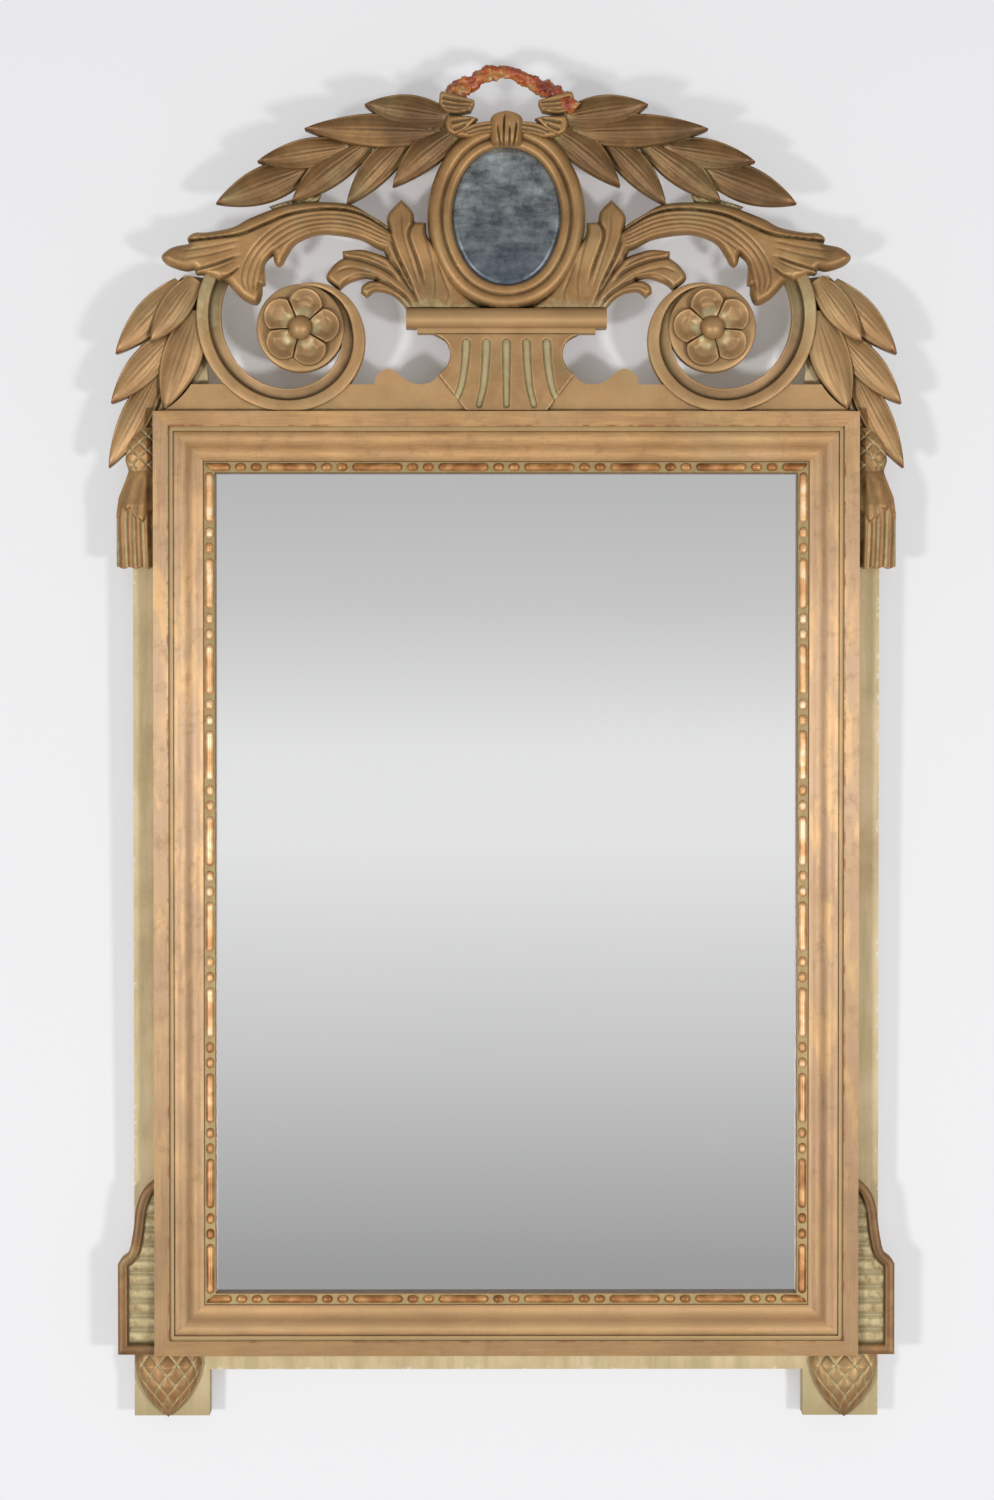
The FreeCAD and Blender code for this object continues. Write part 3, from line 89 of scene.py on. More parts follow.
class Nodes:
    """Helpers for one tree of shader nodes; most of them return an output socket."""

    def __init__(self, tree):
        self.tree = tree

    def add(self, kind, **settings):
        item = self.tree.nodes.new(kind)
        for key, value in settings.items():
            setattr(item, key, value)
        return item

    def feed(self, socket, value):
        if isinstance(value, bpy.types.NodeSocket):
            self.tree.links.new(value, socket)
        else:
            socket.default_value = value

    def calc(self, operation, first, second=0.5):
        item = self.add("ShaderNodeMath", operation=operation)
        self.feed(item.inputs[0], first)
        self.feed(item.inputs[1], second)
        return item.outputs[0]

    def part(self, value, share):
        return self.calc("MULTIPLY", value, share)

    def span(self, value, low, high, start=0, end=1):
        """Value moved from low..high to start..end and clamped."""
        item = self.add("ShaderNodeMapRange")
        for socket, given in zip(item.inputs, (value, low, high, start, end)):
            self.feed(socket, given)
        return item.outputs[0]

    def ramp(self, factor, stops):
        item = self.add("ShaderNodeValToRGB")
        self.feed(item.inputs[0], factor)
        points = item.color_ramp.elements
        while len(points) < len(stops):
            points.new(0.5)
        for point, (where, shade) in zip(points, stops):
            point.position = where
            point.color = shade if isinstance(shade, tuple) else (shade, shade, shade, 1)
        return item.outputs[0]

    def choose(self, factor, first, second):
        """Surface that goes from the first to the second with the factor."""
        item = self.add("ShaderNodeMixShader")
        for socket, given in zip(item.inputs, (factor, first, second)):
            self.feed(socket, given)
        return item.outputs[0]

    def seen(self):
        """1 for what is seen, directly or in gloss and glass, and 0 for what only gives light."""
        path = self.add("ShaderNodeLightPath")
        seen = path.outputs["Is Camera Ray"]
        for kind in ("Is Glossy Ray", "Is Transmission Ray"):
            seen = self.calc("MAXIMUM", seen, path.outputs[kind])
        return seen


class Shader(Nodes):
    """Nodes of one material; distances are in millimetres."""

    def __init__(self, name):
        self.material = bpy.data.materials.new(name)
        self.material.use_nodes = True
        super().__init__(self.material.node_tree)
        self.surface = self.tree.nodes["Principled BSDF"]
        self.place = self.add("ShaderNodeTexCoord").outputs["Object"]

    def stretched(self, scale):
        item = self.add("ShaderNodeMapping")
        self.feed(item.inputs["Vector"], self.place)
        item.inputs["Scale"].default_value = scale
        return item.outputs[0]

    def noise(self, scale, detail=4, rough=0.55, place=None):
        item = self.add("ShaderNodeTexNoise")
        self.feed(item.inputs["Vector"], self.place if place is None else place)
        item.inputs["Scale"].default_value = scale
        item.inputs["Detail"].default_value = detail
        item.inputs["Roughness"].default_value = rough
        return item.outputs[0]

    def patches(self, low, high, *grain):
        """Noise spread from low..high to 0..1."""
        return self.span(self.noise(*grain), low, high)

    def mix(self, factor, first, second):
        item = self.add("ShaderNodeMix", data_type="RGBA")
        self.feed(item.inputs[0], factor)
        self.feed(item.inputs[6], first)
        self.feed(item.inputs[7], second)
        return item.outputs[2]

    def lay(self, base, shade, cover, share):
        """Base with a shade laid over it, by a share of the cover."""
        return self.mix(self.part(cover, share), base, shade)

    def axes(self):
        """Place across, in depth and upwards."""
        item = self.add("ShaderNodeSeparateXYZ")
        self.feed(item.inputs[0], self.stretched((1 / MM, 1 / MM, 1 / MM)))
        return item.outputs[0], item.outputs[1], item.outputs[2]

    def away(self, value, place):
        return self.calc("ABSOLUTE", self.calc("SUBTRACT", value, place))

    def within(self, value, place, reach):
        """1 where a value lies within reach of a place, or else 0."""
        found = self.calc("COMPARE", value, place)
        found.node.inputs[2].default_value = reach
        return found

    def openness(self, reach, samples):
        item = self.add("ShaderNodeAmbientOcclusion", samples=samples)
        item.inputs["Distance"].default_value = reach * MM
        return item.outputs["AO"]

    def hollow(self, reach, low, high):
        """How enclosed a place is, spread from low..high to 0..1."""
        return self.span(self.calc("SUBTRACT", 1, self.openness(reach, 6)), low, high)

    def bump(self, height, strength, distance):
        item = self.add("ShaderNodeBump")
        item.inputs["Strength"].default_value = strength
        item.inputs["Distance"].default_value = distance * MM
        self.feed(item.inputs["Height"], height)
        self.feed(self.surface.inputs["Normal"], item.outputs[0])

    def finish(self, base, metallic, roughness):
        self.feed(self.surface.inputs["Base Color"], base)
        self.feed(self.surface.inputs["Metallic"], metallic)
        self.feed(self.surface.inputs["Roughness"], roughness)
        return self.material


GILT_METAL = 0.45


def gilt_base(shader, dark, middle, light, streak):
    """Clouded gilding with rubbed streaks along one direction and fine specks."""
    blend = shader.mix(0.4, shader.noise(11, 6, 0.6), shader.noise(1, 5, 0.62, shader.stretched(streak)))
    tone = shader.ramp(blend, [(0.32, dark), (0.5, middle), (0.68, light)])
    return shader.lay(tone, dark, shader.patches(0.55, 0.72, 620, 3, 0.6), 0.3)


def gilt_finish(shader, base, low, high):
    """Fine bumps, and a gloss that wanders between two roughnesses."""
    shader.bump(shader.noise(260, 5, 0.6), 0.25, 0.4)
    return shader.finish(base, GILT_METAL, shader.span(shader.noise(34, 4, 0.6), 0, 1, low, high))


def carved_gilt(name, dark, middle, light):
    """Gilding on carving: the mesh marks bole (red), painted ground (green) and grooves (blue)."""
    shader = Shader(name)
    base = gilt_base(shader, dark, middle, light, (30, 30, 30))
    base = shader.lay(base, KHAKI_DARK, shader.patches(0.5, 0.68, 21, 6, 0.62), 0.5)
    base = shader.lay(base, dark, shader.patches(0.47, 0.34, 13, 6, 0.68), 0.5)
    # The mesh's marks: bole, painted ground, and grooves that get patina and painted shade.
    marks = shader.add("ShaderNodeAttribute", attribute_name="patina_and_shade")
    split = shader.add("ShaderNodeSeparateColor")
    shader.feed(split.inputs[0], marks.outputs["Color"])
    bole, ground, groove = split.outputs
    patches = shader.noise(150, 4, 0.65)
    paint = shader.mix(shader.noise(90, 4), KHAKI_DARK, KHAKI)
    base = shader.mix(shader.span(shader.calc("ADD", ground, patches), 0.75, 1.1), base, paint)
    base = shader.mix(shader.span(shader.calc("ADD", bole, patches), 0.78, 1.2), base, BOLE)
    # Grooves marked in the mesh are darkened with patina and painted shade, as along the leaves' edges, the
    # scroll's upper edge and in the rosettes' bowls.
    base = shader.lay(base, PATINA_AND_SHADE, groove, 0.75)
    # How the mesh bends paints a highlight on ridges, and patina with painted shade in creases.
    bend = shader.add("ShaderNodeNewGeometry").outputs["Pointiness"]
    base = shader.lay(base, light, shader.span(bend, 0.505, 0.56), 0.4)
    base = shader.lay(base, PATINA_AND_SHADE, shader.span(bend, 0.495, 0.43), 0.6)
    # Dirt and painted shade in the hollows between and under the carved parts.
    dirt_and_shade = shader.mix(shader.patches(0.44, 0.6, 45, 4), PATINA_AND_SHADE, KHAKI_DARK)
    base = shader.lay(base, dirt_and_shade, shader.hollow(12, 0.2, 0.85), 0.85)
    return gilt_finish(shader, base, 0.38, 0.58)


# Places on the mouldings: heights where a highlight is painted on the gilding and where it browns
# towards the foot, then distances in from the outer edge.
HIGHLIGHT_START = (50, 500)
HIGHLIGHT_END = (800, 620)
FOOT_RISE = 500
OGEE = (17, 24)
FILLET = (16.5, 12.5)
QUIRK_MIDDLE = 15.4
QUIRK_REACH = 1.9
ARRIS_MIDDLE = 12.9
ARRIS_REACH = 0.8


def frame_gilt(name, shades, streak):
    """Gilding on the mouldings, with olive paint left in the quirk and rubbed bole along its arris."""
    shader = Shader(name)
    base = gilt_base(shader, *shades, streak)
    across, depth, up = shader.axes()
    patch = shader.noise(1, 4, 0.55, shader.stretched(tuple(0.06 * part + 14 for part in streak)))
    # Painted highlight: the gilding is lightened at mid-height of the uprights, where the lamps' sheen
    # falls, and its patches are stronger there.
    painted_highlight = shader.calc("MINIMUM", shader.span(up, *HIGHLIGHT_START), shader.span(up, *HIGHLIGHT_END))
    amount = shader.calc("ADD", shader.part(painted_highlight, 0.65), 0.15)
    base = shader.lay(base, colour(228, 181, 114), shader.span(patch, 0.5, 0.6), amount)
    base = shader.lay(base, colour(170, 135, 110), shader.span(patch, 0.48, 0.36), amount)
    base = shader.lay(base, colour(176, 152, 108), shader.patches(0.48, 0.7, 17, 6, 0.65), 0.4)
    base = shader.lay(base, colour(226, 193, 158), painted_highlight, 0.42)
    foot = shader.span(up, FRAME_BOTTOM + FOOT_RISE, FRAME_BOTTOM)
    base = shader.lay(base, FOOT_BROWN, foot, 0.34)
    base = shader.lay(base, colour(128, 98, 64), shader.patches(0.54, 0.74, 75, 6, 0.7), 0.5)
    from_side = shader.calc("SUBTRACT", HALF_FRAME, shader.calc("ABSOLUTE", across))
    from_end = shader.calc("SUBTRACT", FRAME_TOP - FRAME_MIDDLE, shader.away(up, FRAME_MIDDLE))
    inset = shader.calc("MINIMUM", from_side, from_end)
    # Painted light: the ogee of the bottom rail, which faces away from the low lamps, is lightened.
    low_rail = shader.part(shader.calc("LESS_THAN", up, FRAME_MIDDLE),
                           shader.calc("LESS_THAN", from_end, from_side))
    base = shader.lay(base, colour(232, 190, 140), shader.span(inset, *OGEE), shader.part(low_rail, 0.24))
    base = shader.lay(base, FOOT_BROWN, shader.span(inset, *FILLET), shader.part(foot, 0.26))
    base = shader.lay(base, colour(166, 146, 100), shader.within(inset, QUIRK_MIDDLE, QUIRK_REACH), 0.6)
    rubbed = shader.patches(0.5, 0.62, 70, 4)
    base = shader.lay(base, BOLE, shader.within(inset, ARRIS_MIDDLE, ARRIS_REACH), shader.part(rubbed, 0.6))
    # Patina and painted shade in the hollows of the moulding.
    base = shader.lay(base, PATINA_AND_SHADE, shader.hollow(5, 0.25, 0.8), 0.75)
    return gilt_finish(shader, base, 0.46, 0.62)


def bead_gilt():
    """Burnished red-gold beads, copper near the foot and at the top, on an olive ground that lies deeper."""
    shader = Shader("bead_gilt")
    across, depth, up = shader.axes()
    side_low, side_high = mm_box("bead_strip_left")
    top_edge = mm_box("bead_strip_top")[0][2]
    rubbed = shader.noise(60, 4)
    gold = shader.ramp(rubbed, [(0.34, colour(194, 140, 90)), (0.48, colour(221, 174, 121)),
                                (0.6, colour(240, 209, 169))])
    copper = shader.ramp(rubbed, [(0.34, colour(122, 76, 38)), (0.5, colour(166, 112, 62)),
                                  (0.64, colour(198, 150, 96))])
    gold = shader.mix(shader.span(up, FRAME_BOTTOM + 420, FRAME_BOTTOM + 120), gold, copper)
    gold = shader.mix(shader.span(up, top_edge - 10, top_edge), gold, copper)
    ground = shader.mix(shader.noise(180, 4), colour(136, 112, 70), colour(176, 154, 108))
    base = shader.mix(shader.span(depth, side_low[1] + 3.4, side_low[1] + 2.4), ground, gold)
    # Painted shade in the hollows round the beads.
    base = shader.lay(base, colour(72, 48, 25), shader.hollow(1.6, 0.3, 0.75), 0.9)
    beyond_side = shader.calc("ADD", shader.calc("ABSOLUTE", across), side_high[0])
    beyond_end = shader.calc("SUBTRACT", shader.away(up, FRAME_MIDDLE), top_edge - FRAME_MIDDLE)
    beyond = shader.calc("MAXIMUM", beyond_side, beyond_end)
    width = side_high[0] - side_low[0]
    inner = shader.span(beyond, 1.1, 0.6)
    outer = shader.span(beyond, width - 1.2, width - 0.6)
    base = shader.lay(base, colour(92, 66, 38), shader.calc("MAXIMUM", inner, outer), 0.85)
    return gilt_finish(shader, base, 0.36, 0.52)


def painted_ground():
    """Old khaki paint, dirty in patches, chipped to white along its outer arrises."""
    shader = Shader("painted_ground")
    drag = shader.noise(1, 5, 0.6, shader.stretched((220, 220, 14)))
    blend = shader.mix(0.15, shader.noise(16, 6, 0.62), drag)
    base = shader.ramp(blend, [(0.32, colour(178, 156, 115)), (0.5, colour(203, 182, 140)),
                               (0.68, colour(213, 194, 155))])
    green = shader.noise(1, 5, 0.6, shader.stretched((70, 70, 7)))
    base = shader.lay(base, colour(160, 150, 100), shader.span(green, 0.46, 0.62), 0.5)
    across, depth, up = shader.axes()
    from_side = shader.calc("SUBTRACT", HALF_BACK, shader.calc("ABSOLUTE", across))
    rim = shader.span(shader.calc("MINIMUM", from_side, shader.away(up, RAIL_BOTTOM)), 3.5, 0)
    rim = shader.part(rim, shader.span(depth, STILE_FRONT + 5, STILE_FRONT + 1))
    base = shader.lay(base, GESSO, rim, shader.patches(0.55, 0.62, 85, 5, 0.7))
    base = shader.lay(base, colour(150, 132, 92), shader.span(up, RAIL_BOTTOM + 10, FOOT_BOTTOM), 0.65)
    # Dirt and painted shade in the hollows, as under the moulding.
    base = shader.lay(base, colour(118, 98, 62), shader.hollow(12, 0.2, 1), 0.4)
    shader.bump(shader.noise(300, 5), 0.3, 0.4)
    return shader.finish(base, 0, 0.62)


def worn_bole():
    """Broken ribbon: red bole, scraps of gilding and bare plaster."""
    shader = Shader("worn_bole")
    lumps = shader.noise(85, 5, 0.65)
    base = shader.ramp(lumps, [(0.32, colour(84, 32, 15)), (0.47, colour(156, 64, 25)),
                               (0.56, colour(180, 108, 48)), (0.66, colour(156, 130, 84))])
    base = shader.lay(base, colour(222, 190, 132), shader.patches(0.62, 0.68, 170, 4, 0.6), 0.7)
    # Painted shade in the hollows of the loop.
    base = shader.lay(base, colour(70, 40, 22), shader.hollow(6, 0.25, 0.95), 0.7)
    shader.bump(shader.noise(240, 5), 0.5, 0.8)
    return shader.finish(base, 0, shader.patches(0, 1.3, 60, 4))


def bare_wood():
    """Old unpainted softwood with its grain running upright."""
    shader = Shader("bare_wood")
    fibres = shader.noise(1, 6, 0.6, shader.stretched((75, 75, 1.6)))
    base = shader.ramp(fibres, [(0.34, colour(118, 88, 54)), (0.5, colour(162, 126, 82)),
                                (0.66, colour(184, 150, 104))])
    base = shader.lay(base, colour(92, 68, 42), shader.patches(0.52, 0.75, 7, 4), 0.5)
    shader.bump(fibres, 0.3, 0.6)
    return shader.finish(base, 0, 0.75)


def silvered_glass():
    """Clean plate mirror with faint clouding of its silver."""
    shader = Shader("silvered_glass")
    haze = shader.noise(5, 4, 0.5)
    base = shader.mix(haze, colour(246, 247, 248), colour(250, 250, 250))
    return shader.finish(base, 1, shader.span(haze, 0, 1, 0.01, 0.03))


def antique_glass():
    """Foxed old mirror: blue-grey silver with dark crackled clouds, darker towards its foot."""
    shader = Shader("antique_glass")
    cloud = shader.noise(46, 7, 0.68)
    level = shader.noise(1, 5, 0.65, shader.stretched((38, 38, 130)))
    blend = shader.mix(0.5, cloud, level)
    base = shader.ramp(blend, [(0.36, colour(66, 71, 76)), (0.46, colour(112, 118, 121)),
                               (0.56, colour(144, 150, 151)), (0.66, colour(172, 180, 183))])
    crackle = shader.noise(1, 6, 0.75, shader.stretched((160, 160, 520)))
    fox = shader.part(shader.span(crackle, 0.52, 0.62), shader.span(cloud, 0.58, 0.4))
    base = shader.lay(base, colour(44, 42, 46), fox, 0.7)
    across, depth, up = shader.axes()
    low, high = mm_box("oval_glass")
    sunk = shader.calc("POWER", shader.span(up, high[2], low[2]), 2.6)
    base = shader.lay(base, colour(66, 76, 90), sunk, 0.95)
    return shader.finish(base, 0.7, shader.span(cloud, 0.1, 1.4))


def plain_metal(name, dark, light, roughness):
    shader = Shader(name)
    base = shader.mix(shader.noise(180, 5, 0.65), dark, light)
    shader.bump(shader.noise(500, 4), 0.2, 0.3)
    gloss = shader.noise(90, 4)
    return shader.finish(base, 1, shader.span(gloss, 0, 1, roughness - 0.12, roughness + 0.12))


# Three copies of the carving's gilding: the second is painted darker, as shade, for the laurel and the
# brackets; the third is painted lighter, as light, for the garland, volutes, rosettes, urn and crest rails.
carving_gilt = carved_gilt("carving_gilt", colour(102, 74, 42), colour(152, 114, 69), colour(192, 150, 99))
shaded_gilt = carved_gilt("shaded_gilt", colour(72, 51, 27), colour(115, 83, 46), colour(160, 121, 75))
lit_gilt = carved_gilt("lit_gilt", colour(131, 99, 61), colour(167, 130, 86), colour(192, 154, 107))
upright_shades = (colour(142, 109, 76), colour(174, 138, 101), colour(198, 161, 122))
level_shades = (colour(148, 112, 71), colour(177, 137, 91), colour(199, 158, 111))
upright_gilt = frame_gilt("upright_gilt", upright_shades, (900, 900, 30))
level_gilt = frame_gilt("level_gilt", level_shades, (30, 900, 900))
SLOT_FINISH = {
    "bright_gilt": bead_gilt(),
    "painted_ground": painted_ground(),
    "worn_bole": worn_bole(),
    "bare_wood": bare_wood(),
    "mirror_glass": silvered_glass(),
    "antique_glass": antique_glass(),
    "screw_steel": plain_metal("screw_steel", colour(92, 88, 80), colour(150, 146, 138), 0.42),
    "hanger_brass": plain_metal("hanger_brass", colour(122, 92, 46), colour(190, 156, 92), 0.36),
}


# Curves and measures in the flat, on arrays of points.
def smooth(points, step=1.2):
    """Curve through points, as close evenly spaced points."""
    given = np.array(points, float)
    if len(given) == 2:
        count = max(2, math.ceil(np.linalg.norm(given[1] - given[0]) / step) + 1)
        return given[0] + np.linspace(0, 1, count)[:, None] * (given[1] - given[0])
    padded = np.vstack([2 * given[0] - given[1], given, 2 * given[-1] - given[-2]])
    pieces = []
    for before, start, end, after in zip(padded, padded[1:], padded[2:], padded[3:]):
        count = max(2, math.ceil(np.linalg.norm(end - start) / step))
        t = np.linspace(0, 1, count, endpoint=False)[:, None]
        square = 2 * before - 5 * start + 4 * end - after
        cube = 3 * start - before - 3 * end + after
        pieces.append(0.5 * (2 * start + (end - before) * t + square * t ** 2 + cube * t ** 3))
    pieces.append(given[-1:])
    return np.vstack(pieces)


def outline(strokes):
    """Closed outline from strokes that follow each other, counterclockwise."""
    points = np.vstack([smooth(stroke)[:-1] for stroke in strokes])
    x, z = points.T
    if np.sum(x * np.roll(z, -1) - np.roll(x, -1) * z) < 0:
        points = points[::-1]
    return points


def nearest(points, line):
    """Distance from each point to an open line, and how far along the line that is, from 0 to 1."""
    start = line[:-1]
    run = line[1:] - start
    reach = np.maximum(np.sum(run * run, axis=1), 1e-9)
    gap = points[:, None, :] - start[None]
    share = np.clip(np.einsum("nkd,kd->nk", gap, run) / reach, 0, 1)
    away = np.linalg.norm(gap - share[..., None] * run[None], axis=2)
    best = np.argmin(away, axis=1)
    rows = np.arange(len(points))
    return away[rows, best], (best + share[rows, best]) / len(run)


def enclosed(points, border):
    """Which points lie inside a closed border."""
    x, z = points[:, 0][:, None], points[:, 1][:, None]
    x1, z1 = border[:, 0][None], border[:, 1][None]
    x2, z2 = np.roll(border[:, 0], -1)[None], np.roll(border[:, 1], -1)[None]
    crossing = (z1 > z) != (z2 > z)
    rise = np.where(z2 == z1, 1, z2 - z1)
    return (np.sum(crossing & (x < (x2 - x1) * (z - z1) / rise + x1), axis=1) % 2) == 1


def ease(value, low, high):
    t = np.clip((value - low) / (high - low), 0, 1)
    return t * t * (3 - 2 * t)


def bell(value, width):
    """Bell curve: 1 at a value of 0, fading over a width to both sides."""
    return np.exp(-(value / width) ** 2)


def rounded(distance, radius):
    """Quarter-round rise over a radius, from 0 to 1."""
    t = np.clip(distance / radius, 0, 1)
    return np.sqrt(1 - (1 - t) ** 2)


def cuts(points, strokes, width, fade_in, fade_out):
    """How deep each point lies in V-shaped strokes, from 0 to 1, fading over a share of each end."""
    deepest = np.zeros(len(points))
    for stroke in strokes:
        away, share = nearest(points, smooth(stroke, 2.0))
        depth = bell(away, width)
        if fade_in:
            depth = depth * ease(share, 0, fade_in)
        if fade_out:
            depth = depth * ease(1 - share, 0, fade_out)
        deepest = np.maximum(deepest, depth)
    return deepest


def grain(points, scale, seed):
    """Repeatable unevenness between -1 and 1."""
    return np.array([noise.noise(Vector((x * scale, z * scale, seed))) for x, z in points])


def triples(first, second, third):
    """Three arrays or numbers as one array of triples: x, z and height, or bole, ground and groove."""
    return np.stack(np.broadcast_arrays(first, second, third), axis=-1)


def lifted(flat, rise):
    """Grid of points from their places in the flat and their heights."""
    return triples(flat[..., 0], flat[..., 1], rise)


class Carving:
    """Closed surfaces of one carved piece; a point is x, z and its height."""

    def __init__(self):
        self.points = []
        self.faces = []
        self.patina_and_shade = []
        self.count = 0

    def add(self, points, faces, patina_and_shade):
        self.points.append(points)
        self.patina_and_shade.append(patina_and_shade)
        self.faces += [tuple(index + self.count for index in face) for face in faces]
        self.count += len(points)

    def close(self, points, faces, loop, patina_and_shade, back):
        """Add a front with walls from its border, a counterclockwise loop, down to a flat back."""
        size = len(points)
        foot = points[loop].copy()
        foot[:, 2] = back
        count = len(loop)
        walls = []
        for index in range(count):
            after = (index + 1) % count
            walls.append((loop[after], loop[index], size + index, size + after))
        base = tuple(size + index for index in reversed(range(count)))
        self.add(np.vstack([points, foot]), [*faces, *walls, base], np.vstack([patina_and_shade, patina_and_shade[loop]]))

    def sheet(self, grid, marks, back):
        """Close a grid of points, row after row, whose columns run to the left of its rows."""
        rows, columns = grid.shape[:2]
        faces = []
        for row in range(rows - 1):
            for column in range(columns - 1):
                first = row * columns + column
                faces.append((first, first + columns, first + columns + 1, first + 1))
        bottom = [row * columns for row in range(rows)]
        end = [(rows - 1) * columns + column for column in range(1, columns)]
        top = [row * columns + columns - 1 for row in range(rows - 2, -1, -1)]
        start = list(range(columns - 2, 0, -1))
        patina_and_shade = np.broadcast_to(marks, grid.shape).reshape(-1, 3)
        self.close(grid.reshape(-1, 3), faces, bottom + end + top + start, patina_and_shade, back)

    def rings(self, grid, marks, back):
        """Close a grid round a centre, counterclockwise turn after turn, each from the inner ring out."""
        turns, count = grid.shape[:2]
        faces = []
        for turn in range(turns):
            here = turn * count
            after = (turn + 1) % turns * count
            for ring in range(count - 1):
                faces.append((here + ring, here + ring + 1, after + ring + 1, after + ring))
        faces.append(tuple(turn * count for turn in range(turns)))
        loop = [turn * count + count - 1 for turn in range(turns)]
        patina_and_shade = np.broadcast_to(marks, grid.shape).reshape(-1, 3)
        self.close(grid.reshape(-1, 3), faces, loop, patina_and_shade, back)

    def place(self, name, side, material, slot, node):
        """Make the mesh on the right for side 1, or mirrored for side -1, in place of a node."""
        points = np.vstack(self.points)
        patina_and_shade = np.vstack(self.patina_and_shade)
        places = np.stack([side * points[:, 0], FACE - points[:, 2], points[:, 1]], axis=1) * MM
        faces = self.faces if side > 0 else [tuple(reversed(face)) for face in self.faces]
        mesh = bpy.data.meshes.new(name)
        mesh.from_pydata(places.tolist(), [], faces)
        mesh.polygons.foreach_set("use_smooth", [True] * len(mesh.polygons))
        mesh.set_sharp_from_angle(angle=math.radians(48))
        marks = mesh.color_attributes.new("patina_and_shade", "FLOAT_COLOR", "POINT")
        shades = np.hstack([np.clip(patina_and_shade, 0, 1), np.ones((len(patina_and_shade), 1))])
        marks.data.foreach_set("color", shades.astype(np.float32).ravel())
        mesh.materials.append(material)
        mesh.update()
        item = bpy.data.objects.new(name, mesh)
        bpy.context.scene.collection.objects.link(item)
        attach(item, BODY)
        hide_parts(node)
        return item


def place_pair(carving, label, material=carving_gilt):
    for side, word in ((1, "right"), (-1, "left")):
        carving.place(f"carved_{label}_{word}", side, material, "gilt_wood", f"{label}_{word}")


def relief(carving, strokes, height, marks, spacing=0.95, back=0):
    """Carved front inside strokes; height and marks are functions of the points and their edge distance."""
    border = outline(strokes)
    low = border.min(axis=0)
    high = border.max(axis=0)
    grid = []
    for index, z in enumerate(np.arange(low[1], high[1], spacing * 0.87)):
        xs = np.arange(low[0] + (index % 2) * spacing / 2, high[0], spacing)
        grid.append(np.stack([xs, np.full(len(xs), z)], axis=1))
    grid = np.vstack(grid)
    ring = np.vstack([border, border[:1]])
    grid = grid[enclosed(grid, border)]
    grid = grid[nearest(grid, ring)[0] > spacing * 0.55]
    flat = np.vstack([border, grid])
    loop = list(range(len(border)))
    result = delaunay_2d_cdt([Vector(point) for point in flat], [], [loop], 1, 1e-6)
    origin = [found[0] for found in result[3]]
    faces = [tuple(origin[index] for index in face) for face in result[2]]
    edge = nearest(flat, ring)[0]
    edge[:len(border)] = 0
    carving.close(lifted(flat, height(flat, edge)), faces, loop, marks(flat, edge), back)


def crest(points):
    """Points of the crest, given from the frame's top."""
    return [(x, FRAME_TOP + z) for x, z in points]


def crest_all(strokes):
    return [crest(stroke) for stroke in strokes]


def along(points, strokes, width, fade_in=0.0, fade_out=0.0):
    """Cuts along strokes of the crest."""
    return cuts(points, crest_all(strokes), width, fade_in, fade_out)


def close_to(points, stroke, width):
    """Bell curve of the distance to one stroke of the crest."""
    return bell(nearest(points, smooth(crest(stroke)))[0], width)


def around(centre, angle, radius):
    """Point at an angle in degrees from the top, turning towards the middle of the crest."""
    turn = np.radians(angle)
    return np.stack([centre[0] - radius * np.sin(turn), centre[1] + radius * np.cos(turn)], axis=-1)


def full_turn(count):
    return np.linspace(0, 360, count, endpoint=False)[:, None]


# Leaves. The backs of pieces on one plane are a step apart, so that no two share a plane.
BACK_STEP = 0.2
LEAF_CROWN = 6.4
LEAF_START = 0.13
VEINS = ((-0.66, 0.4), (-0.36, 0.6), (0.02, 1.0), (0.33, 0.5), (0.68, 0.35))


def leaf(carving, base, tip, width, bow, low, high, tilt, back):
    """Pointed leaf with a rounded back, fine veins and a thin lip; it rises from its base to its tip."""
    base = np.array(base, float)
    run = np.array(tip, float) - base
    side = np.array([-run[1], run[0]]) / np.linalg.norm(run)
    t = np.linspace(0, 1, 56)[:, None]
    s = np.linspace(-1, 1, 33)[None]
    swell = np.sin(np.pi * (LEAF_START + (1 - LEAF_START) * t)) ** 0.86
    half = np.maximum(width / 2 * swell, 0.3)
    offset = s * half + bow * np.sin(np.pi * t)
    flat = base + t[..., None] * run + offset[..., None] * side
    dome = LEAF_CROWN * swell * (1 - s ** 2)
    fan = 0.55 + 0.75 * t
    veins = sum(deep * bell(s - place * fan, 0.05) for place, deep in VEINS)
    veins = veins * ease(t, 0.02, 0.2) * ease(1 - t, 0.12, 0.5)
    lip = 1.3 * bell(np.abs(s) - 0.96, 0.07)
    rise = low + (high - low) * t + dome + tilt * s + lip - 0.7 * veins - 1.8 * ease(t, 0.9, 1.0)
    bole = 0.5 * ease(t, 0.84, 1.0) + 0.25 * ease(np.abs(s), 0.9, 1.0)
    # The dark rim along each leaf's edge is a painted shadow line; the veins are darkened with patina and
    # painted shade.
    groove = np.clip(0.6 * veins, 0, 1) + 0.9 * ease(np.abs(s), 0.95, 1.0)
    carving.sheet(lifted(flat, rise), triples(bole, 0.3 * ease(1 - t, 0.8, 1.0), groove), back)


def add_leaves(carving, leaves):
    for index, (base, tip, *sizes) in enumerate(leaves):
        leaf(carving, *crest([base, tip]), *sizes, (index + 1) * BACK_STEP)


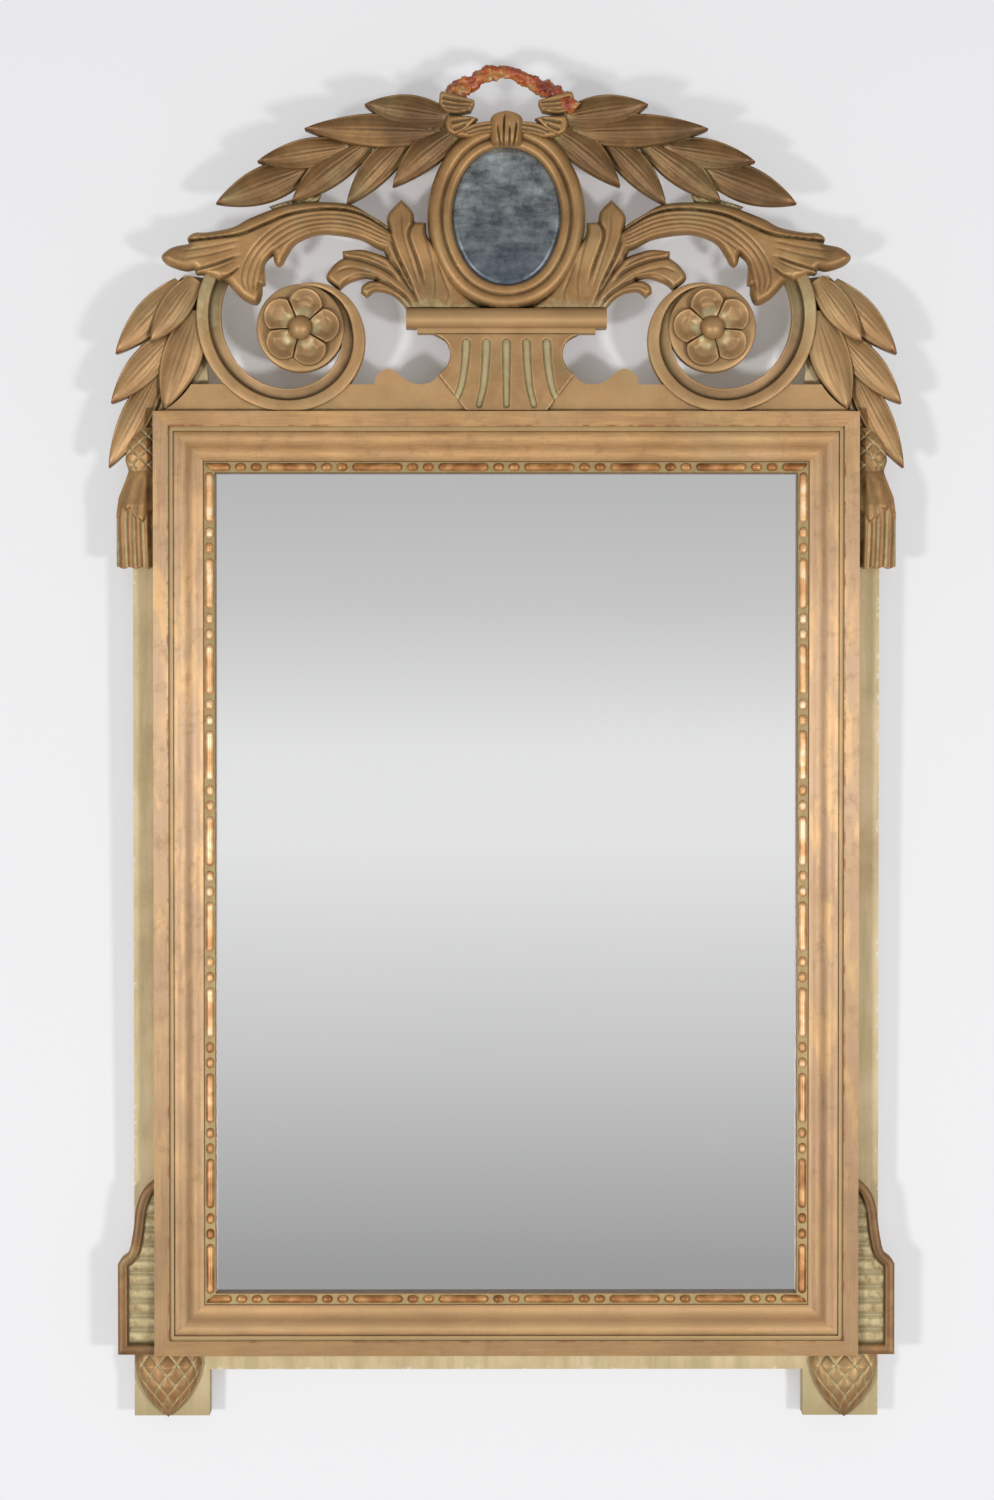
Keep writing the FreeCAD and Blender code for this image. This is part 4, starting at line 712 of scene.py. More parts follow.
# Laurel branches. Each leaf: base, tip, width, bow, height at the base and at the tip, tilt across.
LAUREL = [
    ((178, 220), (261, 187), 33, 0, 4, 9, 1.2),
    ((124, 243), (193, 188), 30, 2, 4, 10, 1.2),
    ((86, 248), (143.5, 185.5), 27, 2.5, 5, 12, 1.2),
    ((142, 238), (223.5, 224), 27, 0, 7, 14, 1.2),
    ((38, 257), (102, 202), 29, 4, 7, 14, 1.2),
    ((60, 251), (181, 253), 30, 0, 10, 18, 1.2),
    ((52, 264), (127, 274.5), 29, 0, 13, 19, 1.2),
]
FILLER = [
    [(166, 196), (190, 192), (214, 185)],
    [(214, 185), (206, 180), (190, 183), (170, 187)],
    [(170, 187), (166, 196)],
]
laurel = Carving()
add_leaves(laurel, LAUREL)
relief(laurel, crest_all(FILLER),
       lambda flat, edge: 3 + 3 * rounded(edge, 4) + 1.6 * grain(flat, 0.35, 3.0),
       lambda flat, edge: triples(0 * edge, 0.95, 0), 1.3, 9 * BACK_STEP)
place_pair(laurel, "laurel", shaded_gilt)

# Garlands: leaves falling over the frame's upper corners.
GARLAND = [
    ((312, 38), (357.5, -50), 27, 0, 3, 11, 1.0),
    ((300, 70), (355, 7.5), 29, 0, 5, 14, 1.0),
    ((278, 90), (308, 1), 36, 0, 10, 13, -0.8),
    ((293, 116), (351, 52), 29, 0, 6, 14, 1.0),
    ((279, 119), (319, 62), 27, 0, 11, 18, 1.0),
]
garland = Carving()
add_leaves(garland, GARLAND)
place_pair(garland, "garland", lit_gilt)

# Scroll leaves: a rolled-back upper edge over a fluted face, lobes at the outer end and a drooping tip.
SCROLL_OUTLINE = [
    [(100, 160), (110, 169.5), (124, 178), (135, 184.5), (146, 187.5), (171, 188.5), (198.5, 185.5),
     (229.5, 174.5), (246, 166), (268, 161.5), (280, 161), (286.5, 156.5), (285.5, 151)],
    [(285.5, 151), (301, 147.5), (310, 139.5), (304.5, 132), (289.5, 127), (280.5, 128)],
    [(280.5, 128), (278.5, 123.5), (271.5, 123), (257.5, 117)],
    [(257.5, 117), (252.5, 117.5), (246, 110), (238, 102), (229.5, 97)],
    [(229.5, 97), (224.5, 96.5), (221.5, 100), (219.5, 106.5), (219.5, 113)],
    [(219.5, 113), (216.5, 114)],
    [(216.5, 114), (217, 120), (217, 133), (210, 141)],
    [(210, 141), (208, 133), (205, 130.5), (201, 133), (196.5, 141), (188, 152), (170, 159), (153.5, 159),
     (131.5, 155), (115, 146.5), (100, 142)],
    [(100, 142), (100, 160)],
]
ROLL_LINE = [(98, 159), (114, 168), (127, 175.5), (145, 180.5), (169, 181), (195, 176.5), (216, 168),
             (238, 159), (262, 155.5), (284, 153)]
FACE_OUTER = [(98, 158), (114, 166), (127, 173), (145, 178), (169, 178.5), (195, 173.5), (214, 163),
              (229, 148), (238, 131), (239, 115), (227, 98)]
FACE_INNER = [(101, 147), (115, 151), (131, 157.5), (147, 161.5), (160, 162), (175, 159.5), (190, 153),
              (203, 144.5), (212, 135), (216.5, 122), (220, 110), (225, 98)]
FLUTES = (0.12, 0.36, 0.6, 0.84)
LOBE_LINES = [
    [(236, 141), (258, 133), (279, 126.5)],
    [(238, 131), (247, 123), (257, 118)],
]
LOBE_VEINS = [
    [(236, 154), (262, 148), (296, 143)],
    [(238, 148), (264, 141), (292, 136)],
    [(240, 137), (258, 128.5), (272, 126)],
    [(244, 162), (262, 159), (278, 157.5)],
]
DROOP_LINE = [(236, 118), (231, 106), (225, 99)]
TIP_LINE = [(300, 140), (310, 139)]
SCROLL_EDGE = 8
SCROLL_HEIGHT = 16.5


def between(first, second, share, count=60):
    """Line that runs between two lines at a share of the way across."""
    lines = []
    for points in (first, second):
        curve = smooth(points)
        picks = np.linspace(0, len(curve) - 1, count).round().astype(int)
        lines.append(curve[picks])
    return (1 - share) * lines[0] + share * lines[1]


def scroll_cuts(flat):
    flutes = [between(FACE_OUTER, FACE_INNER, share)[::4] for share in FLUTES]
    return (along(flat, [ROLL_LINE], 1.3), along(flat, flutes, 1.0, 0.1, 0.04),
            along(flat, LOBE_LINES, 1.2, 0.3), along(flat, LOBE_VEINS, 1.0, 0.2, 0.2))


def scroll_height(flat, edge):
    roll, flutes, lobes, veins = scroll_cuts(flat)
    lift = 2.4 * close_to(flat, DROOP_LINE, 16)
    body = SCROLL_EDGE + (SCROLL_HEIGHT - SCROLL_EDGE) * rounded(edge, 7.5) + lift * rounded(edge, 4)
    return body - 3.0 * roll - 0.9 * flutes - 2.2 * lobes - 0.8 * veins


def scroll_marks(flat, edge):
    roll, flutes, lobes, veins = scroll_cuts(flat)
    # Painted shade along the roll's upper edge, which turns back from the light.
    upper = close_to(flat, SCROLL_OUTLINE[0], 4.5)
    tips = close_to(flat, TIP_LINE, 14)
    groove = 0.9 * roll + 0.4 * flutes + 0.7 * lobes + 0.4 * veins + 0.4 * upper + 0.45 * tips
    return triples(0.3 * tips, 0, np.clip(groove, 0, 1))


scroll = Carving()
relief(scroll, crest_all(SCROLL_OUTLINE), scroll_height, scroll_marks, back=3 * BACK_STEP)
place_pair(scroll, "scroll_leaf")

# Acanthus: an upright frond, a leaf leaning outwards and a curl below it, growing from one foot.
ACANTHUS_OUTLINE = [
    [(16, 90), (29, 98), (42, 110), (51, 124), (60, 144), (71, 158), (72.5, 170)],
    [(72.5, 170), (82.5, 171)],
    [(82.5, 171), (84.5, 180.5), (94.5, 191)],
    [(94.5, 191), (107, 176.5), (105.5, 161)],
    [(105.5, 161), (115.5, 160)],
    [(115.5, 160), (113, 150), (108, 139.5)],
    [(108, 139.5), (120, 143.5), (131.5, 146), (147.5, 144.5)],
    [(147.5, 144.5), (147, 138.5)],
    [(147, 138.5), (156, 131.5), (162, 120), (150, 109)],
    [(150, 109), (143, 115), (128.5, 120), (117, 118.5)],
    [(117, 118.5), (124, 117.3), (130, 113), (131, 107)],
    [(131, 107), (125.5, 102.5)],
    [(125.5, 102.5), (117.5, 108), (104, 105.5), (95, 98.5), (88.5, 90)],
    [(88.5, 90), (16, 90)],
]
ACANTHUS_CLEFTS = [
    [(108, 139.5), (97, 126), (84, 107), (76, 92)],
    [(117, 118.5), (104, 112.5), (91, 103), (82, 91)],
    [(82.5, 171), (87.5, 158), (80, 135), (72, 110)],
    [(105.5, 161), (98, 140), (87, 116), (79, 94)],
    [(147, 138.5), (128, 135), (107, 126), (92, 112)],
]
ACANTHUS_VEINS = [
    [(94, 182), (93, 160), (84, 130), (75, 102)],
    [(112, 157), (103, 138), (90, 116)],
    [(145, 142), (128, 140.5), (112, 134), (100, 124)],
    [(156, 123), (140, 129), (115, 122), (95, 107)],
    [(150, 113), (136, 122), (118, 121), (100, 111)],
    [(128, 109), (118, 113), (103, 109), (90, 98)],
    [(74, 162), (68, 140), (64, 116), (67, 94)],
    [(63, 138), (56, 118), (52, 106), (56, 94)],
]
ACANTHUS_EDGE = 7
ACANTHUS_HEIGHT = 13
ACANTHUS_FOOT = 92


def acanthus_height(flat, edge):
    u, w = flat[:, 0], flat[:, 1] - FRAME_TOP
    frond = 4.5 * bell(u - 92, 24) * bell(w - 160, 40)
    curl = 3.0 * bell(u - 156, 14) * bell(w - 122, 16)
    swell = ACANTHUS_HEIGHT + frond + curl - ACANTHUS_EDGE
    clefts = along(flat, ACANTHUS_CLEFTS, 1.6, 0.0, 0.35)
    veins = along(flat, ACANTHUS_VEINS, 1.3, 0.15, 0.3)
    return ACANTHUS_EDGE + swell * rounded(edge, 5) - 2.2 * clefts - 0.8 * veins


def acanthus_marks(flat, edge):
    clefts = along(flat, ACANTHUS_CLEFTS, 1.2, 0.0, 0.35)
    veins = along(flat, ACANTHUS_VEINS, 1.0, 0.15, 0.3)
    foot = bell(flat[:, 1] - FRAME_TOP - ACANTHUS_FOOT, 12)
    return triples(0, 0.5 * foot, 0.8 * clefts + 0.4 * veins)


acanthus = Carving()
relief(acanthus, crest_all(ACANTHUS_OUTLINE), acanthus_height, acanthus_marks, back=6 * BACK_STEP)
place_pair(acanthus, "acanthus")

# Volutes: a spiral band with a raised outer flat and a hollow inner edge, round a flat eye.
VOLUTE_CENTRE = np.array([185, FRAME_TOP + 75])
VOLUTE_RADIUS = 39.5
VOLUTE_GROWTH = 17.7
VOLUTE_BAND = 22
VOLUTE_FLAT = 11
VOLUTE_END = 308
VOLUTE_DIP = 8
FLAT_HEIGHT = 17.6
EYE_HEIGHT = 14
EYE_SOFTENING = 1.6


def volute_band(carving):
    angle = np.linspace(0, VOLUTE_END, 170)[:, None]
    outer = VOLUTE_RADIUS + VOLUTE_GROWTH * angle / 90
    flat = VOLUTE_FLAT * np.minimum(1, 0.2 + 0.8 * angle / 90)
    inner = np.maximum(flat + 1, np.minimum(VOLUTE_BAND, outer - VOLUTE_RADIUS + 1.5))
    hollow = inner - flat
    columns = [(flat * 0, -1.1), (flat * 0.05, -0.25), (flat * 0.12, 0), (flat * 0.5, 0.25),
               (flat * 0.86, 0), (flat * 0.95, -0.3), (flat, -1.2), (flat + hollow * 0.05, -5.4)]
    for share in (0.15, 0.3, 0.45, 0.6, 0.75, 0.88):
        columns.append((flat + hollow * share, -6.4 - 1.2 * share + 3.0 * share ** 2))
    columns.append((flat + hollow * 0.95, -4.9))
    columns.append((inner, -5.6))
    insets = np.concatenate([inset for inset, drop in columns], axis=1)
    drops = np.array([drop for inset, drop in columns])
    start = (FLAT_HEIGHT - EYE_HEIGHT) * ease(70 - angle, 0, 70)
    rise = FLAT_HEIGHT + drops - VOLUTE_DIP * ease(angle, 285, VOLUTE_END) - start
    # The hollow inner edge of the band is darkened with painted shade.
    groove = np.zeros(len(columns))
    groove[6:9] = 0.8
    groove[9:14] = 0.5
    groove[-1] = 0.3
    marks = triples(0, 0.5 * ease(angle, 240, 290), groove)
    carving.sheet(lifted(around(VOLUTE_CENTRE, angle, outer - insets), rise), marks, BACK_STEP)


def volute_eye(carving):
    """Round plate with a softened edge."""
    soft = EYE_SOFTENING / VOLUTE_RADIUS
    shares = np.array([0.02, 0.3, 0.6, 0.85, 1 - soft, 1 - 0.3 * soft, 1])
    drops = np.array([0, 0, 0, 0, 0, 0.3, 1]) * EYE_SOFTENING
    flat = around(VOLUTE_CENTRE, full_turn(96), VOLUTE_RADIUS * shares)
    carving.rings(lifted(flat, EYE_HEIGHT - drops), np.zeros(3), 0)


volute = Carving()
volute_eye(volute)
volute_band(volute)
place_pair(volute, "volute", lit_gilt)

# Rosettes: five round dished petals, each lapping over the next, round a domed boss.
ROSETTE_RADIUS = 36
PETALS = 5
FIRST_PETAL = 13
PETAL_REACH = 20.5
PETAL_RADIUS = ROSETTE_RADIUS - PETAL_REACH
BOSS_RADIUS = 10.5
BOSS_LIFT = 9.5
BOSS_BASE = EYE_HEIGHT + 4


def rosette_petals(carving):
    angle = full_turn(240)
    sector = 360 / PETALS
    across = ((angle - FIRST_PETAL + sector / 2) % sector - sector / 2) / (sector / 2)
    turn = np.radians(across * sector / 2)
    border = PETAL_REACH * np.cos(turn) + np.sqrt(PETAL_RADIUS ** 2 - (PETAL_REACH * np.sin(turn)) ** 2)
    ring = np.linspace(0.12, 1, 34)[None]
    radius = border * ring
    gap = (1 - np.abs(across)) * np.radians(sector / 2) * radius
    cleft = bell(gap, 0.6) * ease(ring, 0.25, 0.45)
    from_centre = np.hypot(radius * np.cos(turn) - PETAL_REACH, radius * np.sin(turn))
    inner_edge = np.minimum(gap, PETAL_RADIUS - from_centre)
    rim = bell(inner_edge - 1.5, 1.1) * ease(ring, 0.35, 0.55)
    bowl = ease(inner_edge, 0.8, 9) * ease(ring, 0.3, 0.6)
    rise = EYE_HEIGHT + 3.2 + 3.8 * ease(ring, 0.2, 0.7) - 3.6 * bowl + 0.3 * rim - 1.8 * cleft
    rise = rise + 0.9 * across * ease(ring, 0.3, 0.6) - 1.6 * (1 - rounded(border - radius, 1.2))
    ground = 0.5 * bell(ring - 0.45, 0.17) * (1 - cleft)
    # Dark clefts and petal edges, and painted shade in the outer half of each bowl.
    groove = np.maximum(0.9 * cleft, 0.8 * bell(border - radius, 0.8)) + 0.3 * bowl * ease(ring, 0.5, 0.75)
    flat = around(VOLUTE_CENTRE, angle, radius)
    carving.rings(lifted(flat, rise), triples(0.3 * rim, ground, groove), EYE_HEIGHT - 1)


def rosette_boss(carving):
    """Most of a hemisphere, with a dark line round its foot."""
    lean = np.radians(np.linspace(3, 90, 14))
    flat = around(VOLUTE_CENTRE, full_turn(48), BOSS_RADIUS * np.sin(lean))
    groove = np.zeros(len(lean))
    groove[-1] = 0.9
    carving.rings(lifted(flat, BOSS_BASE + BOSS_LIFT * np.cos(lean)), triples(0, 0, groove), EYE_HEIGHT)


rosette = Carving()
rosette_petals(rosette)
rosette_boss(rosette)
place_pair(rosette, "rosette", lit_gilt)

# Oval looking glass: two mouldings round a four-arc oval, with a rebate for the bevelled glass behind.
OVAL_HALF_WIDTH = 48.7
OVAL_HALF_HEIGHT = 61.6
OVAL_END_RADIUS = 43
oval_low, oval_high = mm_box("oval_glass")
OVAL_CENTRE = np.array([0, (oval_low[2] + oval_high[2]) / 2])
OVAL_GLASS = FACE - oval_low[1]
OVAL_REBATE = oval_high[0] - OVAL_HALF_WIDTH
OVAL_PROFILE = [
    (0, OVAL_GLASS + 0.1), (0, 11), (0.5, 12.6), (1.6, 14.2), (3.4, 15.3), (5.2, 15.4), (7, 15.1),
    (8.2, 14.6), (8.8, 14), (9.4, 14), (9.9, 14.9), (10.6, 16), (11.6, 17), (13, 17.8), (15, 17.9),
    (17.4, 17.2), (19.6, 15.6), (21.2, 13.2), (22.1, 10), (22.4, 6.5), (22.4, 0), (OVAL_REBATE + 0.2, 0),
    (OVAL_REBATE + 0.2, OVAL_GLASS + 0.1),
]
BEVEL_WIDTH = 4
BEVEL_DROP = 0.9
PLATE_EDGE = OVAL_GLASS - BEVEL_DROP
PLATE_PROFILE = [(-BEVEL_WIDTH, OVAL_GLASS), (0, PLATE_EDGE), (OVAL_REBATE, PLATE_EDGE)]


def oval_sweep(count, profile):
    """Profile of distances out from the oval and heights, swept round it."""
    reach = OVAL_HALF_HEIGHT - OVAL_END_RADIUS
    spare = OVAL_HALF_WIDTH - OVAL_END_RADIUS
    side_radius = (reach ** 2 + OVAL_HALF_WIDTH ** 2 - OVAL_END_RADIUS ** 2) / (2 * spare)
    side_centre = side_radius - OVAL_HALF_WIDTH
    turn = np.linspace(0, 2 * math.pi, count, endpoint=False)
    normal = np.stack([np.cos(turn), np.sin(turn)], axis=1)
    folded = np.arctan2(np.abs(normal[:, 1]), np.abs(normal[:, 0]))
    at_end = (folded > math.atan2(reach, side_centre))[:, None]
    end_points = np.array([0, reach]) * np.sign(normal[:, 1:2]) + OVAL_END_RADIUS * normal
    side_points = np.array([-side_centre, 0]) * np.sign(normal[:, :1]) + side_radius * normal
    edge = np.where(at_end, end_points, side_points)
    out, rise = np.array(profile).T
    return lifted(OVAL_CENTRE + edge[:, None] + normal[:, None] * out[None, :, None], rise)


def oval_ring():
    grid = oval_sweep(220, OVAL_PROFILE)
    turns, count = grid.shape[:2]
    faces = []
    for turn in range(turns):
        here = turn * count
        after = (turn + 1) % turns * count
        for column in range(count):
            beyond = (column + 1) % count
            faces.append((here + column, here + beyond, after + beyond, after + column))
    groove = np.zeros((turns, count))
    groove[:, 7:10] = 0.6
    carving = Carving()
    carving.add(grid.reshape(-1, 3), faces, triples(0, 0, groove).reshape(-1, 3))
    carving.place("carved_oval_frame", 1, carving_gilt, "gilt_wood", "oval_frame")


def oval_plate():
    carving = Carving()
    carving.rings(oval_sweep(160, PLATE_PROFILE), np.zeros(3), FACE - oval_high[1])
    finish = SLOT_FINISH["antique_glass"]
    plate = carving.place("bevelled_oval_glass", 1, finish, "antique_glass", "oval_glass")
    plate.data.set_sharp_from_angle(angle=math.radians(5))


oval_ring()
oval_plate()

# Urn: waisted block with five flutes that spread at the foot, painted in their hollows.
URN_FRONT = 17.6
URN_SIDE = [
    [(36, 0), (61, 33)],
    [(61, 33), (53.5, 41), (50.5, 52), (54.5, 63), (66, 70)],
]
FLUTE_TOP = 61.5
FLUTE_FOOT = 6
FLUTE_TOPS = (-36, -18, 0, 18, 36)
FLUTE_FEET = (-47.5, -24.5, 0, 24.5, 47.5)
FLUTE_HALF = 3.3


def urn_strokes():
    """Side, top, mirrored side and foot."""
    right = crest_all(URN_SIDE)
    left = [[(-x, z) for x, z in reversed(stroke)] for stroke in reversed(right)]
    return [*right, [right[-1][-1], left[0][0]], *left, [left[-1][-1], right[0][0]]]


def flute_depth(flat):
    deepest = np.zeros(len(flat))
    for top, foot in zip(FLUTE_TOPS, FLUTE_FEET):
        spread = foot - top
        line = [(top, FLUTE_TOP), (top + spread * 0.12, 42), (top + spread * 0.42, 22), (foot, FLUTE_FOOT)]
        away, share = nearest(flat, smooth(crest(line), 1.5))
        half = FLUTE_HALF * (1.1 - 0.3 * share)
        deepest = np.maximum(deepest, ease(half + 0.6 - away, 0, 1.3))
    return deepest


urn = Carving()
relief(urn, urn_strokes(),
       lambda flat, edge: URN_FRONT - 0.9 * (1 - rounded(edge, 1.4)) - 2.6 * flute_depth(flat),
       lambda flat, edge: triples(0, flute_depth(flat), 0.5 * bell(edge, 0.8)))
urn.place("carved_urn", 1, lit_gilt, "gilt_wood", "urn")

# Ribbon: a knot of gathered pleats, torn tails on both sides and a broken loop over the top.
KNOT_MIDDLE = FRAME_TOP + 253
KNOT_HALF = 15.3
KNOT_EDGE = 15
KNOT_SWELL = 12.5
KNOT_BACK = 8
PLEATS = ((-0.55, -0.1, 0.35), (-0.16, 0.05, 1.0), (0.2, 0.0, 0.35), (0.6, 0.08, 0.6))


def knot_surface(carving):
    """Pillow with pleats; each pleat has a place across, a lean and the height where it fades out."""
    t = np.linspace(-1, 1, 48)[:, None]
    s = np.linspace(1, -1, 65)[None]
    half = KNOT_HALF * (0.92 + 0.08 * np.clip(t + 0.2, -1, 1)) * np.sqrt(1.02 - np.clip(t, 0, 1) ** 3.4)
    half = half * (1 - 0.1 * ease(-t, 0.75, 1.0))
    level = np.sqrt(np.clip(1 - (0.92 * np.abs(s)) ** 2.4, 0, 1))
    upright = np.sqrt(np.clip(1 - (0.9 * t) ** 4, 0, 1))
    pleats = 0
    for place, lean, upper in PLEATS:
        pleats = np.maximum(pleats, bell(s - place - lean * t, 0.06) * ease(upper - t, 0, 0.6))
    rise = KNOT_EDGE + KNOT_SWELL * level * upright - 2.2 * pleats
    marks = triples(0.25 * (1 - pleats) * bell(s, 0.7), 0, 0.8 * pleats)
    carving.sheet(triples(s * half, KNOT_MIDDLE + t * KNOT_HALF, rise), marks, KNOT_BACK)


knot = Carving()
knot_surface(knot)
knot.place("carved_ribbon_knot", 1, carving_gilt, "gilt_wood", "ribbon_knot")

TAIL_BAND = [
    [(9, 260.5), (27.5, 258), (38, 253), (47.5, 246.5)],
    [(47.5, 246.5), (34, 245), (24, 247.5), (9, 249)],
    [(9, 249), (9, 260.5)],
]
BAND_CUTS = [[(10, 257), (26, 254.5), (40, 249)], [(10, 252.5), (24, 250.5), (36, 247.5)]]
TAIL_FOLD = [
    [(53.5, 265), (34, 264.5), (25.5, 262.5)],
    [(25.5, 262.5), (33, 254), (41, 247.5), (47, 246.8)],
    [(47, 246.8), (53, 250.5), (55, 257.5), (53.5, 265)],
]
FOLD_CUTS = [[(50, 258), (42, 259.5), (31, 262)], [(48, 252), (42, 254), (36, 257.5)]]
TAIL_STUB = [
    [(60, 284), (55.5, 286.2), (29, 278.6)],
    [(29, 278.6), (28.6, 275.5), (32, 268.5)],
    [(32, 268.5), (44, 266.5), (54, 267.5)],
    [(54, 267.5), (60, 274), (60, 284)],
]
STUB_CUTS = [[(59, 280.5), (45, 277.5), (29, 276)], [(59, 276), (46, 273.5), (30, 273)],
             [(57, 271.5), (46, 269.7), (32, 270)]]


def ribbon_part(carving, strokes, lines, height, back):
    relief(carving, crest_all(strokes),
           lambda flat, edge: height - 5 + 5 * rounded(edge, 3) - 1.7 * along(flat, lines, 1.5, 0.1, 0.1),
           lambda flat, edge: triples(0.3 * bell(edge, 2), 0, 0.7 * along(flat, lines, 1.4, 0.1, 0.1)),
           0.9, back)


tail = Carving()
ribbon_part(tail, TAIL_FOLD, FOLD_CUTS, 20, 10 * BACK_STEP)
ribbon_part(tail, TAIL_STUB, STUB_CUTS, 22, 11 * BACK_STEP)
ribbon_part(tail, TAIL_BAND, BAND_CUTS, 22, 12 * BACK_STEP)
place_pair(tail, "ribbon_tail")

# Each point of the loop: x, z, radius and height of the tube there.
LOOP = [
    (-50, 283, 9.5, 6.5),
    (-40, 291, 9.4, 6.5),
    (-31, 295, 7.0, 6.5),
    (-25, 300, 8.0, 6.5),
    (-12, 304.5, 6.6, 6.5),
    (2.7, 305, 6.2, 6.5),
    (16, 299.5, 6.6, 6.5),
    (28.4, 292.5, 8.0, 7.5),
    (40, 287, 9.2, 11),
    (51, 280, 8.4, 16),
    (62, 270, 8.6, 19),
]
LOOP_BACK = 14 * BACK_STEP


def loop_tube():
    """Crumbling tube along the loop, its radius uneven all over."""
    path = smooth(crest([point[:2] for point in LOOP]), 1.3)
    share = np.linspace(0, 1, len(path))
    knots = np.linspace(0, 1, len(LOOP))
    radii = np.interp(share, knots, [point[2] for point in LOOP])
    heights = np.interp(share, knots, [point[3] for point in LOOP])
    run = np.gradient(path, axis=0)
    run = run / np.linalg.norm(run, axis=1)[:, None]
    side = np.stack([-run[:, 1], run[:, 0]], axis=1)
    turns = 26
    points = []
    for place, radius, height, normal in zip(path, radii, heights, side):
        for turn in range(turns):
            angle = 2 * math.pi * turn / turns
            out = math.cos(angle)
            lift = math.sin(angle)
            coarse = noise.noise(Vector((place[0] * 0.16, place[1] * 0.16 + 1.3 * out, 1.3 * lift)))
            fine = noise.noise(Vector((place[0] * 0.55, place[1] * 0.55 + 2.1 * out, 2.1 * lift + 7)))
            size = radius * (0.84 + 0.42 * coarse + 0.22 * fine)
            points.append((*(place + normal * size * out), max(LOOP_BACK, height + 0.85 * size * lift)))
    faces = []
    for start in range(0, len(points) - turns, turns):
        for turn in range(turns):
            after = (turn + 1) % turns
            faces.append((start + turn, start + after, start + turns + after, start + turns + turn))
    faces.append(tuple(reversed(range(turns))))
    faces.append(tuple(range(len(points) - turns, len(points))))
    carving = Carving()
    carving.add(np.array(points), faces, np.zeros((len(points), 3)))
    carving.place("carved_ribbon_loop", 1, SLOT_FINISH["worn_bole"], "worn_bole", "ribbon_loop")


loop_tube()

# Tassels: netted knot, a tier of folds with a jagged hem over a longer fringed skirt.
TASSEL_TOP = FRAME_TOP - 14
TASSEL_FOOT = FRAME_TOP - 140
TASSEL_NECK = FRAME_TOP - 53
TASSEL_DEPTH = 15
TASSEL_WIDTH = 34
WIDTH_DROPS = (0, 0.12, 0.24, 0.31, 0.36, 0.5, 0.62, 0.98, 1)
WIDTH_SHARES = (0.5, 0.74, 0.76, 0.68, 0.74, 0.94, 1.0, 1.0, 0.99)
DEPTH_SHARES = (0.6, 0.9, 0.95, 0.7, 0.78, 1, 0.94)
NET_PITCH = 13


def tassel_surface(carving):
    t = np.linspace(0, 1, 150)[:, None]
    s = np.linspace(0, 1, 61)[None]
    width = TASSEL_WIDTH * np.interp(t, WIDTH_DROPS, WIDTH_SHARES)
    z = TASSEL_TOP + (TASSEL_FOOT - TASSEL_TOP) * t
    neck = (TASSEL_TOP - TASSEL_NECK) / (TASSEL_TOP - TASSEL_FOOT)
    body = TASSEL_DEPTH * (0.45 + 0.55 * np.sqrt(np.clip(1 - (1.9 * (s - 0.5)) ** 2, 0.02, 1)))
    body = body * np.interp(t, [0, 0.1, 0.2, neck, neck + 0.06, 0.55, 1], DEPTH_SHARES)
    rising = np.abs(((z + s * width) / NET_PITCH) % 1 - 0.5)
    falling = np.abs(((z - s * width) / NET_PITCH) % 1 - 0.5)
    net = bell(0.5 - np.maximum(rising, falling), 0.09) * ease(neck - t, 0, 0.03)
    folds = 0.5 + 0.5 * np.cos(2 * np.pi * (2.6 * s + 0.12 * np.sin(6 * t) + 0.35 * t))
    skirt = ease(t, neck, neck + 0.08)
    hem = 0.62 + 0.045 * np.sin(2 * np.pi * (1.3 * s - 0.2)) + 0.012 * np.sin(9 * np.pi * s)
    upper = skirt * ease(hem - t, -0.012, 0.018)
    lower = skirt * ease(t - hem, -0.018, 0.012)
    fringe = 0.5 + 0.5 * np.cos(2 * np.pi * (4.4 * s + 0.1 * np.sin(7 * t) + 0.3))
    rise = body - 1.2 * net + upper * (1.2 - 2.2 * (1 - folds)) - lower * (0.9 + 1.7 * (1 - fringe))
    wave = 0.8 * np.sin(2 * np.pi * (3.2 * s + 0.1)) * ease(t, 0.9, 1)
    bole = 0.5 * bell(t - hem, 0.03) * (t < hem) + 0.4 * ease(t, 0.96, 1)
    ground = 0.85 * net + 0.65 * lower * (1 - fringe) ** 3 + 0.3 * upper * (1 - folds) ** 4
    groove = 0.3 * skirt * (1 - folds) ** 4 + 0.4 * bell(t - neck, 0.02)
    carving.sheet(triples(HALF_FRAME + s * width, z + wave, rise), triples(bole, ground, groove), 0)


tassel = Carving()
tassel_surface(tassel)
place_pair(tassel, "tassel")

# Brackets: a rolled border round a sunk panel of level ribs. The last side lies against the moulding.
BRACKET_OUTLINE = [
    [(0, 0), (33.5, 0)],
    [(33.5, 0), (33.5, 82)],
    [(33.5, 82), (30.5, 87), (24.5, 92), (22, 98)],
    [(22, 98), (19.5, 112), (17, 132), (12.5, 146), (6, 154), (0, 158)],
    [(0, 158), (0, 0)],
]
BRACKET_BORDER = 9.5
BRACKET_PITCH = 12.9
BRACKET_HEIGHT = 16
BRACKET_ROLL = 2.5
bracket_strokes = [[(HALF_FRAME + x, FRAME_BOTTOM + z) for x, z in stroke] for stroke in BRACKET_OUTLINE]


def bracket_edge(flat):
    """Distance from the bracket's free sides."""
    return nearest(flat, np.vstack([smooth(stroke) for stroke in bracket_strokes[:-1]]))[0]


def bracket_ribs(flat):
    level = (flat[:, 1] - FRAME_BOTTOM - BRACKET_BORDER) / BRACKET_PITCH
    return bell(np.minimum(level % 1, 1 - level % 1) * BRACKET_PITCH, 2.3)


